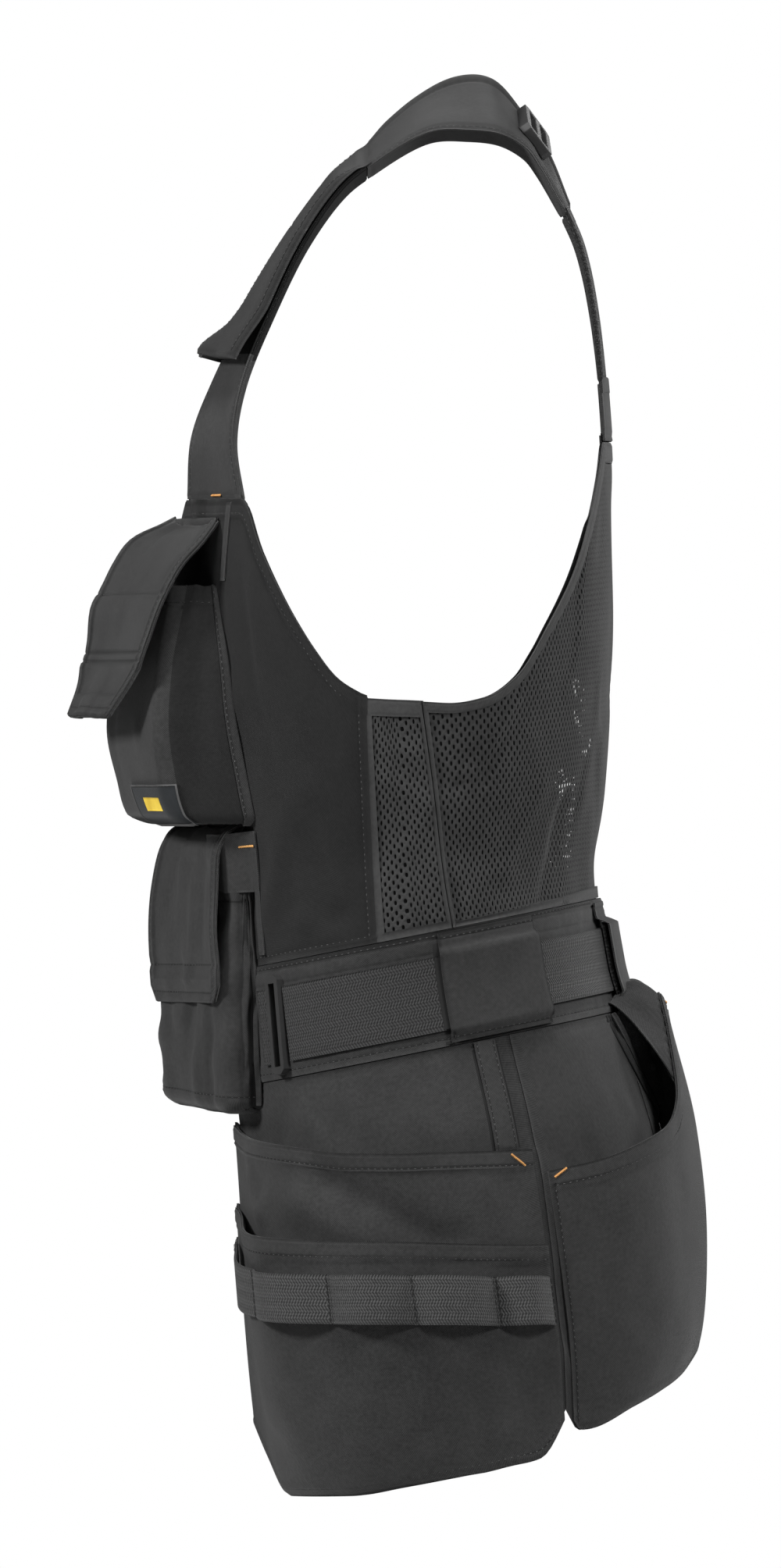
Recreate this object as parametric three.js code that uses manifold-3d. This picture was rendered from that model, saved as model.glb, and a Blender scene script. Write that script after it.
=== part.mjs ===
// A worker's tool vest in the form it has when worn, in millimetres with +Z up.
// The wearer faces -Y and their left is +X. The origin is midway between the shoulders,
// at the height where the shoulder pieces rest on them.
import * as THREE from "three";
import Module from "manifold-3d";

const wasm = await Module();
wasm.setup();

const { clamp, lerp, smoothstep } = THREE.MathUtils;
const degree = Math.PI / 180;

// Overall form
const vestDrop = 727; // from the shoulder line down to the lowest hem
const frontReach = 152; // from the shoulder line forward to the chest
const backReach = 112; // from the shoulder line back to the seat
const hipHalfWidth = 182;
const shoulderHalfWidth = 145; // centre line to the arm edge of the shoulder piece
const chestSeamDrop = 207; // shoulder line down to the seam that joins strap and front panel
const backTabDrop = 145; // shoulder line down to the top of the back tab
const backTabHeight = 31;

// Cloth and fit
const cloth = 1.8;
const meshCloth = 1.6;
const bandCloth = 3; // the waistband is folded double
const strapCloth = 2.4;
const webbingCloth = 2;
const flapCloth = 2.4;
const clearance = 0.4; // kept between pieces that touch

// Waist
const beltLevel = -462.5; // height of the belt's middle beside the shoulder line
const beltTilt = 0.2; // rise of the belt per unit of distance towards the back
const beltWidth = 40;
const elasticWidth = 35;
const bandAbove = 33; // waistband above the belt's middle
const bandBelow = 28;

// Chest pocket
const chestPocketDrop = 252; // shoulder line down to the pocket's mouth
const chestPocketHeight = 125;
const chestPocketDepth = 48;
const chestFlapRise = 38; // flap's seam above the pocket's mouth
const chestFlapDrop = 108;
const chestFlapOverhang = 5;
const flapChamfer = 26;

// Lower pocket
const lowerFlapGap = 4; // from the chest pocket's bottom to the lower flap's seam
const lowerFlapDrop = 89;
const lowerPocketFall = 27; // from the lower flap's seam to the lower pocket's mouth
const lowerPocketHeight = 112;
const lowerPocketDepth = 30;
const lowerPocketTilt = 6; // the bottom is this much lower on the arm side
const pleatDepth = 3.5;

// Holster pockets
const holsterDepth = 14; // room in the inner compartment
const toolRoom = 13; // room in the outer compartment
const backHolsterDepth = 23;
const toolWebbingWidth = 25;
const toolWebbingFall = 17; // below the outer compartment's rim
const toolLoopRise = 8;
const seamTapeWidth = 10;

// Small parts
const buckleLength = 22;
const buckleWidth = 46;
const buckleThickness = 4.5;
const backStrapWidth = 40;
const padThickness = 5;
const padFlare = 5;
const ringWidth = 10;
const ringHeight = 52;
const ringThickness = 4;
const labelWidth = 56;
const labelHeight = 22;
const labelRise = 3; // above the pocket's bottom
const labelThickness = 0.9;
const tunnelRise = 1.2; // slack of a belt loop over the belt
const zipTeethRise = 1.6;

// Angles round the body, in degrees from the front centre towards the wearer's left
const angleStep = 7.5; // every sheet on the body has its corners on these lines
const zipEdge = 2;
const pocketInner = 6;
const pocketOuter = 46;
const sideFront = 84; // seam between front panel and side mesh
const sideSeam = 96; // seam between side mesh and back mesh, at mid height
const sideSeamSlant = 3; // it is this much further back at the waist and further forward on top
const tabEdge = 163;
const ringAngle = 54;
const tabAngle = 47;
const tunnelStart = 95;
const tunnelEnd = 123;
const webbingEnd = 106;
const elasticStart = 108;
const loopAngle = 163;
const loopWidth = 11; // degrees
const loopRise = 4; // slack of the back loop over the belt
const bandJoint = 158;
const holsterFront = 26;
const holsterRear = 108;
const hipJoint = 109.5;
const backHolsterFront = 111;
const backHolsterRear = 166;
const seamTapeAngle = 102.3;
const toolLoopAngles = [27, 52, 70, 84, 95, 107]; // where the tool webbing is stitched down

// Cross-sections of the worn form. drop is a share of vestDrop, front and mid of frontReach,
// back of backReach and half of hipHalfWidth. mid is how far forward the widest point lies.
const torso = [
  { drop: 0.1, front: 0.76, back: 0.53, half: 0.86, mid: 0.18 },
  { drop: 0.165, front: 0.88, back: 0.605, half: 0.907, mid: 0.2 },
  { drop: 0.2, front: 0.925, back: 0.638, half: 0.925, mid: 0.204 },
  { drop: 0.275, front: 0.98, back: 0.667, half: 0.945, mid: 0.211 },
  { drop: 0.358, front: 1, back: 0.675, half: 0.956, mid: 0.224 },
  { drop: 0.426, front: 0.987, back: 0.66, half: 0.945, mid: 0.23 },
  { drop: 0.495, front: 0.954, back: 0.634, half: 0.901, mid: 0.224 },
  { drop: 0.55, front: 0.92, back: 0.593, half: 0.862, mid: 0.217 },
  { drop: 0.619, front: 0.895, back: 0.65, half: 0.857, mid: 0.197 },
  { drop: 0.674, front: 0.868, back: 0.765, half: 0.885, mid: 0.164 },
  { drop: 0.743, front: 0.84, back: 0.91, half: 0.929, mid: 0.105 },
  { drop: 0.825, front: 0.815, back: 1.01, half: 0.973, mid: 0.053 },
  { drop: 0.908, front: 0.785, back: 1.05, half: 0.995, mid: 0 },
  { drop: 1.004, front: 0.73, back: 1.04, half: 1, mid: -0.033 },
];
const sectionPower = 0.8; // under 1 makes front and back rounder than an ellipse

// Outlines over the body: angle in degrees, drop as a share of vestDrop
const frontPanelTop = [
  { angle: 0, drop: 0.347 },
  { angle: 8, drop: 0.325 },
  { angle: 16.5, drop: 0.285 },
  { angle: 48, drop: 0.285 },
  { angle: 56, drop: 0.321 },
  { angle: 66, drop: 0.366 },
  { angle: 72.5, drop: 0.394 },
  { angle: 78, drop: 0.414 },
  { angle: 84, drop: 0.426 },
];
const meshTop = [
  { angle: 84, drop: 0.428 },
  { angle: 93, drop: 0.43 },
  { angle: 99, drop: 0.431 },
  { angle: 108, drop: 0.427 },
  { angle: 118, drop: 0.411 },
  { angle: 129, drop: 0.373 },
  { angle: 141, drop: 0.332 },
  { angle: 152, drop: 0.286 },
  { angle: 158, drop: 0.26 },
  { angle: 163, drop: 0.2425 },
  { angle: 180, drop: 0.2425 },
];
const innerRim = [
  { angle: 26, drop: 0.735 },
  { angle: 32, drop: 0.74 },
  { angle: 50, drop: 0.746 },
  { angle: 62, drop: 0.751 },
  { angle: 73, drop: 0.756 },
  { angle: 83, drop: 0.757 },
  { angle: 92, drop: 0.755 },
  { angle: 108, drop: 0.752 },
];
const outerRim = [
  { angle: 26, drop: 0.794 },
  { angle: 41, drop: 0.807 },
  { angle: 60, drop: 0.815 },
  { angle: 72, drop: 0.818 },
  { angle: 84, drop: 0.82 },
  { angle: 94, drop: 0.821 },
  { angle: 108, drop: 0.82 },
];
const frontHem = [
  { angle: 26, drop: 0.949 },
  { angle: 33, drop: 0.974 },
  { angle: 42, drop: 1 },
  { angle: 63, drop: 0.999 },
  { angle: 76, drop: 0.993 },
  { angle: 87, drop: 0.986 },
  { angle: 95, drop: 0.978 },
  { angle: 102, drop: 0.972 },
  { angle: 109.5, drop: 0.937 },
];
const backRim = [
  { angle: 111, drop: 0.768 },
  { angle: 122, drop: 0.763 },
  { angle: 134, drop: 0.752 },
  { angle: 146, drop: 0.738 },
  { angle: 152, drop: 0.722 },
  { angle: 156, drop: 0.698 },
  { angle: 159, drop: 0.67 },
  { angle: 162, drop: 0.653 },
  { angle: 166, drop: 0.658 },
];
const backHem = [
  { angle: 109.5, drop: 0.937 },
  { angle: 113, drop: 0.952 },
  { angle: 130, drop: 0.936 },
  { angle: 149, drop: 0.918 },
  { angle: 157, drop: 0.908 },
  { angle: 168, drop: 0.895 },
];

// The shoulder strap's two edges above the chest seam, from front to back. x is a share of
// shoulderHalfWidth, y of frontReach and z of chestSeamDrop.
const strapEdges = [
  { neckX: 0.366, neckY: -0.944, neckZ: -0.845, armX: 0.785, armY: -0.8, armZ: -0.845 },
  { neckX: 0.386, neckY: -0.872, neckZ: -0.705, armX: 0.752, armY: -0.768, armZ: -0.705 },
  { neckX: 0.407, neckY: -0.745, neckZ: -0.522, armX: 0.772, armY: -0.67, armZ: -0.525 },
  { neckX: 0.421, neckY: -0.596, neckZ: -0.348, armX: 0.841, armY: -0.552, armZ: -0.348 },
  { neckX: 0.428, neckY: -0.436, neckZ: -0.19, armX: 0.917, armY: -0.43, armZ: -0.222 },
  { neckX: 0.434, neckY: -0.346, neckZ: -0.11, armX: 0.966, armY: -0.347, armZ: -0.171 },
  { neckX: 0.455, neckY: -0.17, neckZ: 0.008, armX: 0.986, armY: -0.134, armZ: -0.08 },
  { neckX: 0.469, neckY: -0.038, neckZ: 0.059, armX: 1, armY: 0, armZ: -0.075 },
  { neckX: 0.48, neckY: 0.066, neckZ: 0.056, armX: 0.993, armY: 0.107, armZ: -0.085 },
  { neckX: 0.49, neckY: 0.168, neckZ: -0.027, armX: 0.945, armY: 0.19, armZ: -0.118 },
  { neckX: 0.497, neckY: 0.25, neckZ: -0.118, armX: 0.862, armY: 0.24, armZ: -0.165 },
  { neckX: 0.5, neckY: 0.335, neckZ: -0.27, armX: 0.83, armY: 0.323, armZ: -0.27 },
];
const strapSeamRow = 6; // the strap ends and the shoulder piece starts at this row, the chest seam being 0
const padRow = 2.25; // where the pad's free end hangs
const yokeRows = 11;
const yokeColumns = 3;

// The elastic strap behind the shoulder, from the shoulder piece to the back tab. x is its
// middle as a share of shoulderHalfWidth, y of backReach and z of backTabDrop.
const backStrapPath = [
  { x: 0.642, y: 0.458, z: -0.39 },
  { x: 0.6, y: 0.515, z: -0.49 },
  { x: 0.53, y: 0.555, z: -0.6 },
  { x: 0.42, y: 0.59, z: -0.745 },
  { x: 0.31, y: 0.612, z: -0.87 },
  { x: 0.2, y: 0.63, z: -1 },
];
const backStrapLean = 0.05; // how far the arm edge lies forward of the neck edge, per unit of width

// The pockets' depth on the centre and arm sides and their reach to the arm side from their
// middle, as shares of their depth and half width, by height as a share of their own
const chestBag = [
  { up: 0, centre: 0.5, arm: 0.62, reach: 1.09 },
  { up: 0.045, centre: 0.69, arm: 0.76, reach: 1.09 },
  { up: 0.15, centre: 0.79, arm: 0.84, reach: 1.08 },
  { up: 0.42, centre: 0.92, arm: 0.92, reach: 1.03 },
  { up: 0.65, centre: 0.92, arm: 0.86, reach: 0.97 },
  { up: 0.86, centre: 0.84, arm: 0.71, reach: 0.83 },
  { up: 1, centre: 0.72, arm: 0.6, reach: 0.71 },
];
const lowerBag = [
  { up: 0, centre: 0.86, arm: 0.56, reach: 1 },
  { up: 0.04, centre: 0.9, arm: 0.59, reach: 1 },
  { up: 0.45, centre: 0.91, arm: 0.6, reach: 1 },
  { up: 1, centre: 0.85, arm: 0.56, reach: 1 },
];
// The inner faces of the flaps on their two sides and their reach to the arm side: down as a
// share of the flap's drop, out from the body of its pocket's depth
const chestFlapPath = [
  { down: 0.02, centre: -0.3, arm: -0.3, reach: 0.65 },
  { down: 0.026, centre: -0.06, arm: -0.06, reach: 0.65 },
  { down: 0.047, centre: 0.02, arm: 0.08, reach: 0.68 },
  { down: 0.088, centre: 0.2, arm: 0.19, reach: 0.76 },
  { down: 0.156, centre: 0.53, arm: 0.34, reach: 0.84 },
  { down: 0.26, centre: 0.72, arm: 0.55, reach: 0.92 },
  { down: 0.358, centre: 0.84, arm: 0.69, reach: 0.97 },
  { down: 0.459, centre: 0.95, arm: 0.8, reach: 1 },
  { down: 0.628, centre: 0.99, arm: 0.92, reach: 1 },
  { down: 0.714, centre: 1.03, arm: 0.98, reach: 1 },
  { down: 0.82, centre: 1.1, arm: 1.03, reach: 1 },
  { down: 1, centre: 1.306, arm: 1.167, reach: 1 },
];
const lowerFlapPath = [
  { down: -0.002, centre: -0.4, arm: -0.4, reach: 1 },
  { down: 0, centre: 0.3, arm: 0.2, reach: 1 },
  { down: 0.02, centre: 0.6, arm: 0.5, reach: 1 },
  { down: 0.09, centre: 0.79, arm: 0.66, reach: 1 },
  { down: 0.33, centre: 0.96, arm: 0.7, reach: 1 },
  { down: 0.62, centre: 1.01, arm: 0.72, reach: 1 },
  { down: 1, centre: 0.93, arm: 0.68, reach: 1 },
];

// A curve through two named columns of a table that never overshoots its rows.
function column(rows, along, value) {
  const x = rows.map((row) => row[along]);
  const y = rows.map((row) => row[value]);
  const last = rows.length - 1;
  const secant = (i) => (y[i + 1] - y[i]) / (x[i + 1] - x[i]);
  const slope = (i) => {
    if (i === 0) return secant(0);
    if (i === last) return secant(last - 1);
    const [before, after] = [secant(i - 1), secant(i)];
    return before * after <= 0 ? 0 : (2 * before * after) / (before + after);
  };
  return (at) => {
    const v = clamp(at, x[0], x[last]);
    let i = 0;
    while (i < last - 1 && v > x[i + 1]) i += 1;
    const width = x[i + 1] - x[i];
    const t = (v - x[i]) / width;
    const start = (1 + 2 * t) * (1 - t) ** 2 * y[i] + t * (1 - t) ** 2 * width * slope(i);
    const end = t ** 2 * (3 - 2 * t) * y[i + 1] - t ** 2 * (1 - t) * width * slope(i + 1);
    return start + end;
  };
}

const section = {
  front: column(torso, "drop", "front"),
  back: column(torso, "drop", "back"),
  half: column(torso, "drop", "half"),
  mid: column(torso, "drop", "mid"),
};

// A point on the worn form, at an angle round it and a height.
function formPoint(angle, z) {
  const drop = -z / vestDrop;
  const mid = -section.mid(drop) * frontReach;
  const cosine = Math.cos(angle * degree);
  const edge = cosine > 0 ? -section.front(drop) * frontReach : section.back(drop) * backReach;
  const y = mid + (edge - mid) * Math.abs(cosine) ** sectionPower;
  return new THREE.Vector3(section.half(drop) * hipHalfWidth * Math.sin(angle * degree), y, z);
}

// The same point moved outwards from the form, square to it.
function bodyPoint(angle, z, offset = 0) {
  const aside = 0.5;
  const round = formPoint(angle + aside, z).sub(formPoint(angle - aside, z));
  const up = formPoint(angle, z + 1).sub(formPoint(angle, z - 1));
  return round.cross(up).normalize().multiplyScalar(offset).add(formPoint(angle, z));
}

// The height at each angle of a line that runs parallel to the belt.
function waistLine(above) {
  return (angle) => {
    let z = beltLevel;
    for (let i = 0; i < 5; i += 1) z = beltLevel + beltTilt * formPoint(angle, z).y + above;
    return z;
  };
}

// The height at each angle of an outline kept as a table, the same on both sides of the body.
function outline(rows) {
  const drop = column(rows, "angle", "drop");
  return (angle) => -vestDrop * drop(Math.min(angle, 360 - angle));
}

// Angles from one edge to another, with the shared lines between them.
function stations(from, to, step = angleStep) {
  const least = step * 0.15;
  const lines = [from];
  for (let a = Math.ceil(from / step) * step; a < to; a += step)
    if (a > from + least && a < to - least) lines.push(a);
  return [...lines, to];
}

// A closed solid from points and triangles, turned to face outwards.
function solidFrom(points, triangles) {
  const volume = triangles.reduce(
    (sum, [a, b, c]) => sum + points[a].dot(points[b].clone().cross(points[c])),
    0,
  );
  const facing = volume < 0 ? triangles.map(([a, b, c]) => [a, c, b]) : triangles;
  return new wasm.Manifold(
    new wasm.Mesh({
      numProp: 3,
      vertProperties: new Float32Array(points.flatMap((p) => [p.x, p.y, p.z])),
      triVerts: new Uint32Array(facing.flat()),
    }),
  );
}

// A wall between two grids of points, both as rows of columns.
function gridSolid(inner, outer) {
  const lastRow = inner.length - 1;
  const lastColumn = inner[0].length - 1;
  const points = [...inner.flat(), ...outer.flat()];
  const at = (layer, r, c) => (layer * (lastRow + 1) + r) * (lastColumn + 1) + c;
  const triangles = [];
  const quad = (a, b, c, d) => triangles.push([a, b, c], [a, c, d]);
  for (let r = 0; r < lastRow; r += 1) {
    for (let c = 0; c < lastColumn; c += 1) {
      quad(at(1, r, c), at(1, r, c + 1), at(1, r + 1, c + 1), at(1, r + 1, c));
      quad(at(0, r, c), at(0, r + 1, c), at(0, r + 1, c + 1), at(0, r, c + 1));
    }
    quad(at(0, r + 1, 0), at(0, r, 0), at(1, r, 0), at(1, r + 1, 0));
    quad(at(0, r, lastColumn), at(0, r + 1, lastColumn), at(1, r + 1, lastColumn), at(1, r, lastColumn));
  }
  for (let c = 0; c < lastColumn; c += 1) {
    quad(at(0, 0, c), at(0, 0, c + 1), at(1, 0, c + 1), at(1, 0, c));
    quad(at(0, lastRow, c + 1), at(0, lastRow, c), at(1, lastRow, c), at(1, lastRow, c + 1));
  }
  return solidFrom(points, triangles);
}

// A solid through loops of points, closed at both ends. flat is one loop in its own plane.
function loft(loops, flat) {
  const size = flat.length;
  const last = (loops.length - 1) * size;
  const triangles = [];
  for (let k = 0; k < loops.length - 1; k += 1)
    for (let i = 0; i < size; i += 1) {
      const [a, b] = [k * size + i, k * size + ((i + 1) % size)];
      triangles.push([a, b, b + size], [a, b + size, a + size]);
    }
  for (const [a, b, c] of THREE.ShapeUtils.triangulateShape(flat, []))
    triangles.push([c, b, a], [last + a, last + b, last + c]);
  if (THREE.ShapeUtils.isClockWise(flat))
    for (const triangle of triangles.slice(-2 * (size - 2))) triangle.reverse();
  return solidFrom(loops.flat(), triangles);
}

// What is left of a solid after others are cut from it, without any crumbs.
function cut(solid, ...others) {
  const left = others.reduce((rest, other) => rest.subtract(other), solid);
  const pieces = left.decompose();
  return pieces.reduce((best, piece) => (piece.volume() > best.volume() ? piece : best));
}

// A sheet of cloth on the body. levels gives each column's heights from bottom to top, and
// inner and thick are distances from the form, which may depend on angle and height.
function bodySheet({ angles, levels, inner = 0, thick = cloth, warp = (angle) => angle }) {
  const value = (f, angle, z) => (typeof f === "function" ? f(angle, z) : f);
  const rows = levels(angles[0]).length;
  const layer = (share) =>
    Array.from({ length: rows }, (_, row) =>
      angles.map((line) => {
        const angle = warp(line, row / (rows - 1));
        const z = levels(angle)[row];
        return bodyPoint(angle, z, value(inner, angle, z) + share * value(thick, angle, z));
      }),
    );
  return gridSolid(layer(0), layer(1));
}

// Evenly spaced heights between two lines.
function between(bottom, top, rows) {
  return (angle) =>
    Array.from({ length: rows + 1 }, (_, i) => lerp(bottom(angle), top(angle), i / rows));
}

// The same sheet made thicker by the clearance, and deep enough behind to trim what seats on it.
function seatOf(spec) {
  const value = (f, angle, z) => (typeof f === "function" ? f(angle, z) : f);
  const { inner = 0, thick = cloth } = spec;
  const trim = 30;
  const taller = (z, row, rows) => z + clearance * ((row === rows.length - 1) - (row === 0));
  return bodySheet({
    ...spec,
    levels: (angle) => spec.levels(angle).map(taller),
    inner: (angle, z) => value(inner, angle, z) - trim,
    thick: (angle, z) => trim + value(thick, angle, z) + clearance,
  });
}

// Body panels
const seamInset = 0.11; // degrees cut from a panel's side edge, which is half of a seam's gap
const above = (line, gap) => (angle) => line(angle) + gap;
const bandTop = waistLine(bandAbove);
const bandBottom = waistLine(-bandBelow);
const panelFoot = above(bandTop, clearance);

const [strapNeckAngle, strapArmAngle] = [16.5, 48]; // the strap's edges at the chest seam
const nearest = (angle, line) => (Math.abs(angle - line) < angleStep / 2 ? line : angle);
const frontPanel = {
  angles: stations(zipEdge + seamInset, sideFront - seamInset).map((angle) =>
    nearest(nearest(angle, strapNeckAngle), strapArmAngle),
  ),
  levels: between(panelFoot, outline(frontPanelTop), 7),
};
const meshRows = 7;
const sideSlant = (angle, up) => angle + 2 * sideSeamSlant * (0.5 - up);
const sideMesh = {
  angles: [0, 0.5, 1].map((s) => lerp(sideFront + seamInset, sideSeam - seamInset, s)),
  levels: between(panelFoot, outline(meshTop), meshRows),
  thick: meshCloth,
  warp: (angle, up) =>
    lerp(angle, sideSlant(angle, up), (angle - sideFront) / (sideSeam - sideFront)),
};
// The slant fades out over the back panel's first quarter.
const slantFade = 24;
const backMesh = {
  angles: stations(sideSeam + seamInset, 360 - sideSeam - seamInset),
  levels: between(panelFoot, above(outline(meshTop), -clearance), meshRows),
  thick: meshCloth,
  warp: (angle, up) => {
    const near = Math.min(angle, 360 - angle);
    const moved = lerp(sideSlant(near, up), near, clamp((near - sideSeam) / slantFade, 0, 1));
    return angle > 180 ? 360 - moved : moved;
  },
};
const tabFoot = () => -backTabDrop - backTabHeight;
const backTab = {
  angles: stations(tabEdge, 360 - tabEdge, 2 * angleStep),
  levels: between(tabFoot, () => -backTabDrop, 2),
  thick: strapCloth,
};

// Waistband and belt
const bandLines = [-bandBelow, -beltWidth / 2, beltWidth / 2, bandAbove].map(waistLine);
const waistbandSide = {
  angles: stations(zipEdge + seamInset, bandJoint - seamInset),
  levels: (angle) => bandLines.map((line) => line(angle)),
  thick: bandCloth,
};
const waistbandBack = {
  angles: stations(bandJoint + seamInset, 360 - bandJoint - seamInset),
  levels: waistbandSide.levels,
  thick: bandCloth,
};
const onBand = bandCloth + clearance;
const beltLevels = (width) => between(waistLine(-width / 2), waistLine(width / 2), 1);
const beltWebbing = {
  angles: stations(ringAngle + 3, webbingEnd),
  levels: beltLevels(beltWidth),
  inner: onBand,
  thick: webbingCloth,
};
const beltElastic = {
  angles: stations(elasticStart, 360 - elasticStart),
  levels: beltLevels(elasticWidth),
  inner: onBand + 0.2,
  thick: webbingCloth,
};
const beltTab = {
  angles: stations(tabAngle, ringAngle - 3),
  levels: beltLevels(beltWidth),
  inner: onBand,
  thick: webbingCloth,
};

// A strip over the belt, stitched to the waistband above and below it.
function beltBridge({ from, to, belt, edge, slack }) {
  const rise = onBand + webbingCloth + clearance + slack;
  const foot = (belt / 2 + bandBelow) / 2;
  const heights = [-bandBelow + edge, -foot, -belt / 2 - 1, belt / 2 + 1, foot, bandAbove - edge];
  const lines = heights.map(waistLine);
  return {
    angles: stations(from, to),
    levels: (angle) => lines.map((line) => line(angle)),
    inner: (angle, z) => {
      const off = Math.abs(z - waistLine(0)(angle));
      return lerp(rise, onBand, smoothstep(off, belt / 2 + 1, foot));
    },
  };
}
const beltTunnel = beltBridge({
  from: tunnelStart, to: tunnelEnd, belt: beltWidth, edge: 1, slack: tunnelRise,
});
const backLoop = beltBridge({
  from: loopAngle - loopWidth / 2, to: loopAngle + loopWidth / 2, belt: elasticWidth, edge: 1.5,
  slack: loopRise,
});

// Hip panels and holster pockets
const hipTop = above(bandBottom, -clearance);
const hipRows = 5;
const hipPanelFront = {
  angles: stations(holsterFront, hipJoint - seamInset),
  levels: between(outline(frontHem), hipTop, hipRows),
};
const hipPanelBack = {
  angles: stations(hipJoint + seamInset, backHolsterRear + 2),
  levels: between(outline(backHem), hipTop, hipRows),
};
const layerStep = cloth + clearance;
const sideSlope = 32; // degrees over which a pocket rises from its side seams
const footSlope = 90; // height over which it rises from its bottom seam
const backFootSlope = 170;

// How full a pocket stands, from 0 at its side and bottom seams to 1 inside.
function fullness(angle, z, front, rear, hem) {
  const side = smoothstep(angle, front, front + sideSlope) * smoothstep(-angle, -rear, sideSlope - rear);
  return side * Math.sqrt(clamp((z - hem(angle)) / footSlope, 0, 1));
}
const frontFull = (angle, z) => fullness(angle, z, holsterFront, holsterRear, outline(frontHem));
const outerLevels = between(outline(frontHem), outline(outerRim), 5);
const holsterInner = {
  angles: stations(holsterFront, holsterRear),
  levels: (angle) => [...outerLevels(angle), ...between(outline(outerRim), outline(innerRim), 2)(angle).slice(1)],
  inner: (angle, z) => layerStep + holsterDepth * frontFull(angle, z),
};
const holsterOuter = {
  angles: stations(holsterFront, holsterRear),
  levels: outerLevels,
  inner: (angle, z) => 2 * layerStep + (holsterDepth + toolRoom) * frontFull(angle, z),
};
const backGusset = 4; // degrees over which the back holster's rear gusset rises
const backFull = (angle, z) => {
  const gusset = smoothstep(-angle, -backHolsterRear, backGusset - backHolsterRear);
  const side = Math.sin(clamp((angle - backHolsterFront) / 30, 0, 1) * 90 * degree);
  return gusset * side * Math.sqrt(clamp((z - outline(backHem)(angle)) / backFootSlope, 0, 1));
};
const backHolster = {
  angles: [...stations(backHolsterFront, 150), 153, 156, 159, 162, 164, backHolsterRear],
  levels: between(outline(backHem), outline(backRim), 6),
  inner: (angle, z) => layerStep + backHolsterDepth * backFull(angle, z),
};
const loopWave = (angle) => {
  const next = toolLoopAngles.findIndex((stitch) => stitch >= angle);
  if (next <= 0) return 0;
  const [start, end] = [toolLoopAngles[next - 1], toolLoopAngles[next]];
  return toolLoopRise * Math.sin(((angle - start) / (end - start)) * Math.PI);
};
const toolTop = above(outline(outerRim), -toolWebbingFall);
const toolWebbing = {
  angles: toolLoopAngles.flatMap((stitch, i) =>
    i === 0 ? [stitch] : [0.25, 0.5, 0.75, 1].map((s) => lerp(toolLoopAngles[i - 1], stitch, s)),
  ),
  levels: between(above(toolTop, -toolWebbingWidth), toolTop, 1),
  inner: (angle, z) => holsterOuter.inner(angle, z) + layerStep + loopWave(angle),
  thick: webbingCloth,
};
const tapeHalf = (seamTapeWidth / 2 / (hipHalfWidth * 0.6)) / degree;
const seamTape = {
  angles: [seamTapeAngle - tapeHalf, seamTapeAngle + tapeHalf],
  levels: between(above(outline(innerRim), clearance), above(hipTop, -clearance), 2),
  inner: layerStep,
};

// Straps: a ribbon between a neck edge and an arm edge
const fromShares = (row, edge) =>
  new THREE.Vector3(
    row[`${edge}X`] * shoulderHalfWidth,
    row[`${edge}Y`] * frontReach,
    row[`${edge}Z`] * chestSeamDrop,
  );
const frontEdges = ["neck", "arm"].map((edge) => {
  const foot = bodyPoint(edge === "neck" ? strapNeckAngle : strapArmAngle, -chestSeamDrop + clearance);
  return new THREE.CatmullRomCurve3([foot, ...strapEdges.map((row) => fromShares(row, edge))]);
});
const backEdges = [-1, 1].map((side) => {
  const half = backStrapWidth / 2;
  return new THREE.CatmullRomCurve3(
    backStrapPath.map(
      ({ x, y, z }) =>
        new THREE.Vector3(
          x * shoulderHalfWidth + side * half,
          y * backReach - (side + 1) * half * backStrapLean,
          z * backTabDrop,
        ),
    ),
  );
});

// A point over the ribbon between two edge curves, moved out square to it.
function ribbonPoint([neck, arm], along, across, offset) {
  const at = (t, s) => neck.getPoint(clamp(t, 0, 1)).lerp(arm.getPoint(clamp(t, 0, 1)), s);
  const nudge = 0.01;
  const forward = at(along + nudge, across).sub(at(along - nudge, across));
  const sideways = at(along, 1).sub(at(along, 0));
  return forward.cross(sideways).normalize().multiplyScalar(-offset).add(at(along, across));
}

// A ribbon sheet. alongs are shares of the edges' length, and inner may depend on the place.
function ribbon(edges, { alongs, columns, inner = () => 0, thick = strapCloth }) {
  const layer = (share) =>
    alongs.map((t) =>
      Array.from({ length: columns + 1 }, (_, c) => {
        const s = c / columns;
        return ribbonPoint(edges, t, s, inner(t, s) + share * thick);
      }),
    );
  return gridSolid(layer(0), layer(1));
}
const spread = (from, to, count) =>
  Array.from({ length: count + 1 }, (_, i) => lerp(from, to, i / count));
const strapJoint = strapSeamRow / strapEdges.length;
const padStart = padRow / strapEdges.length;
const jointGap = clearance / (chestSeamDrop * 2);
const padAlongs = spread(padStart, strapJoint - jointGap, 5);
const frontStrap = { alongs: [...spread(0, padStart, 3), ...padAlongs.slice(1)], columns: yokeColumns };
const yoke = { alongs: spread(strapJoint + jointGap, 1, yokeRows), columns: yokeColumns };
const backStrapEnds = clearance / backTabDrop;
const backStrap = { alongs: spread(backStrapEnds * 2, 1 - 3 * backStrapEnds, 8), columns: 1 };

// The pad over the front strap starts at the shoulder piece and flares out at its free end.
const strapPad = {
  alongs: [padStart, lerp(padStart, padAlongs[1], 0.45), ...padAlongs.slice(1)],
  columns: yokeColumns,
  inner: (t) => {
    const free = 1 - (t - padStart) / (padAlongs.at(-1) - padStart);
    return strapCloth + clearance + 0.2 + padFlare * smoothstep(free, 0.78, 1);
  },
  thick: padThickness,
};

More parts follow.
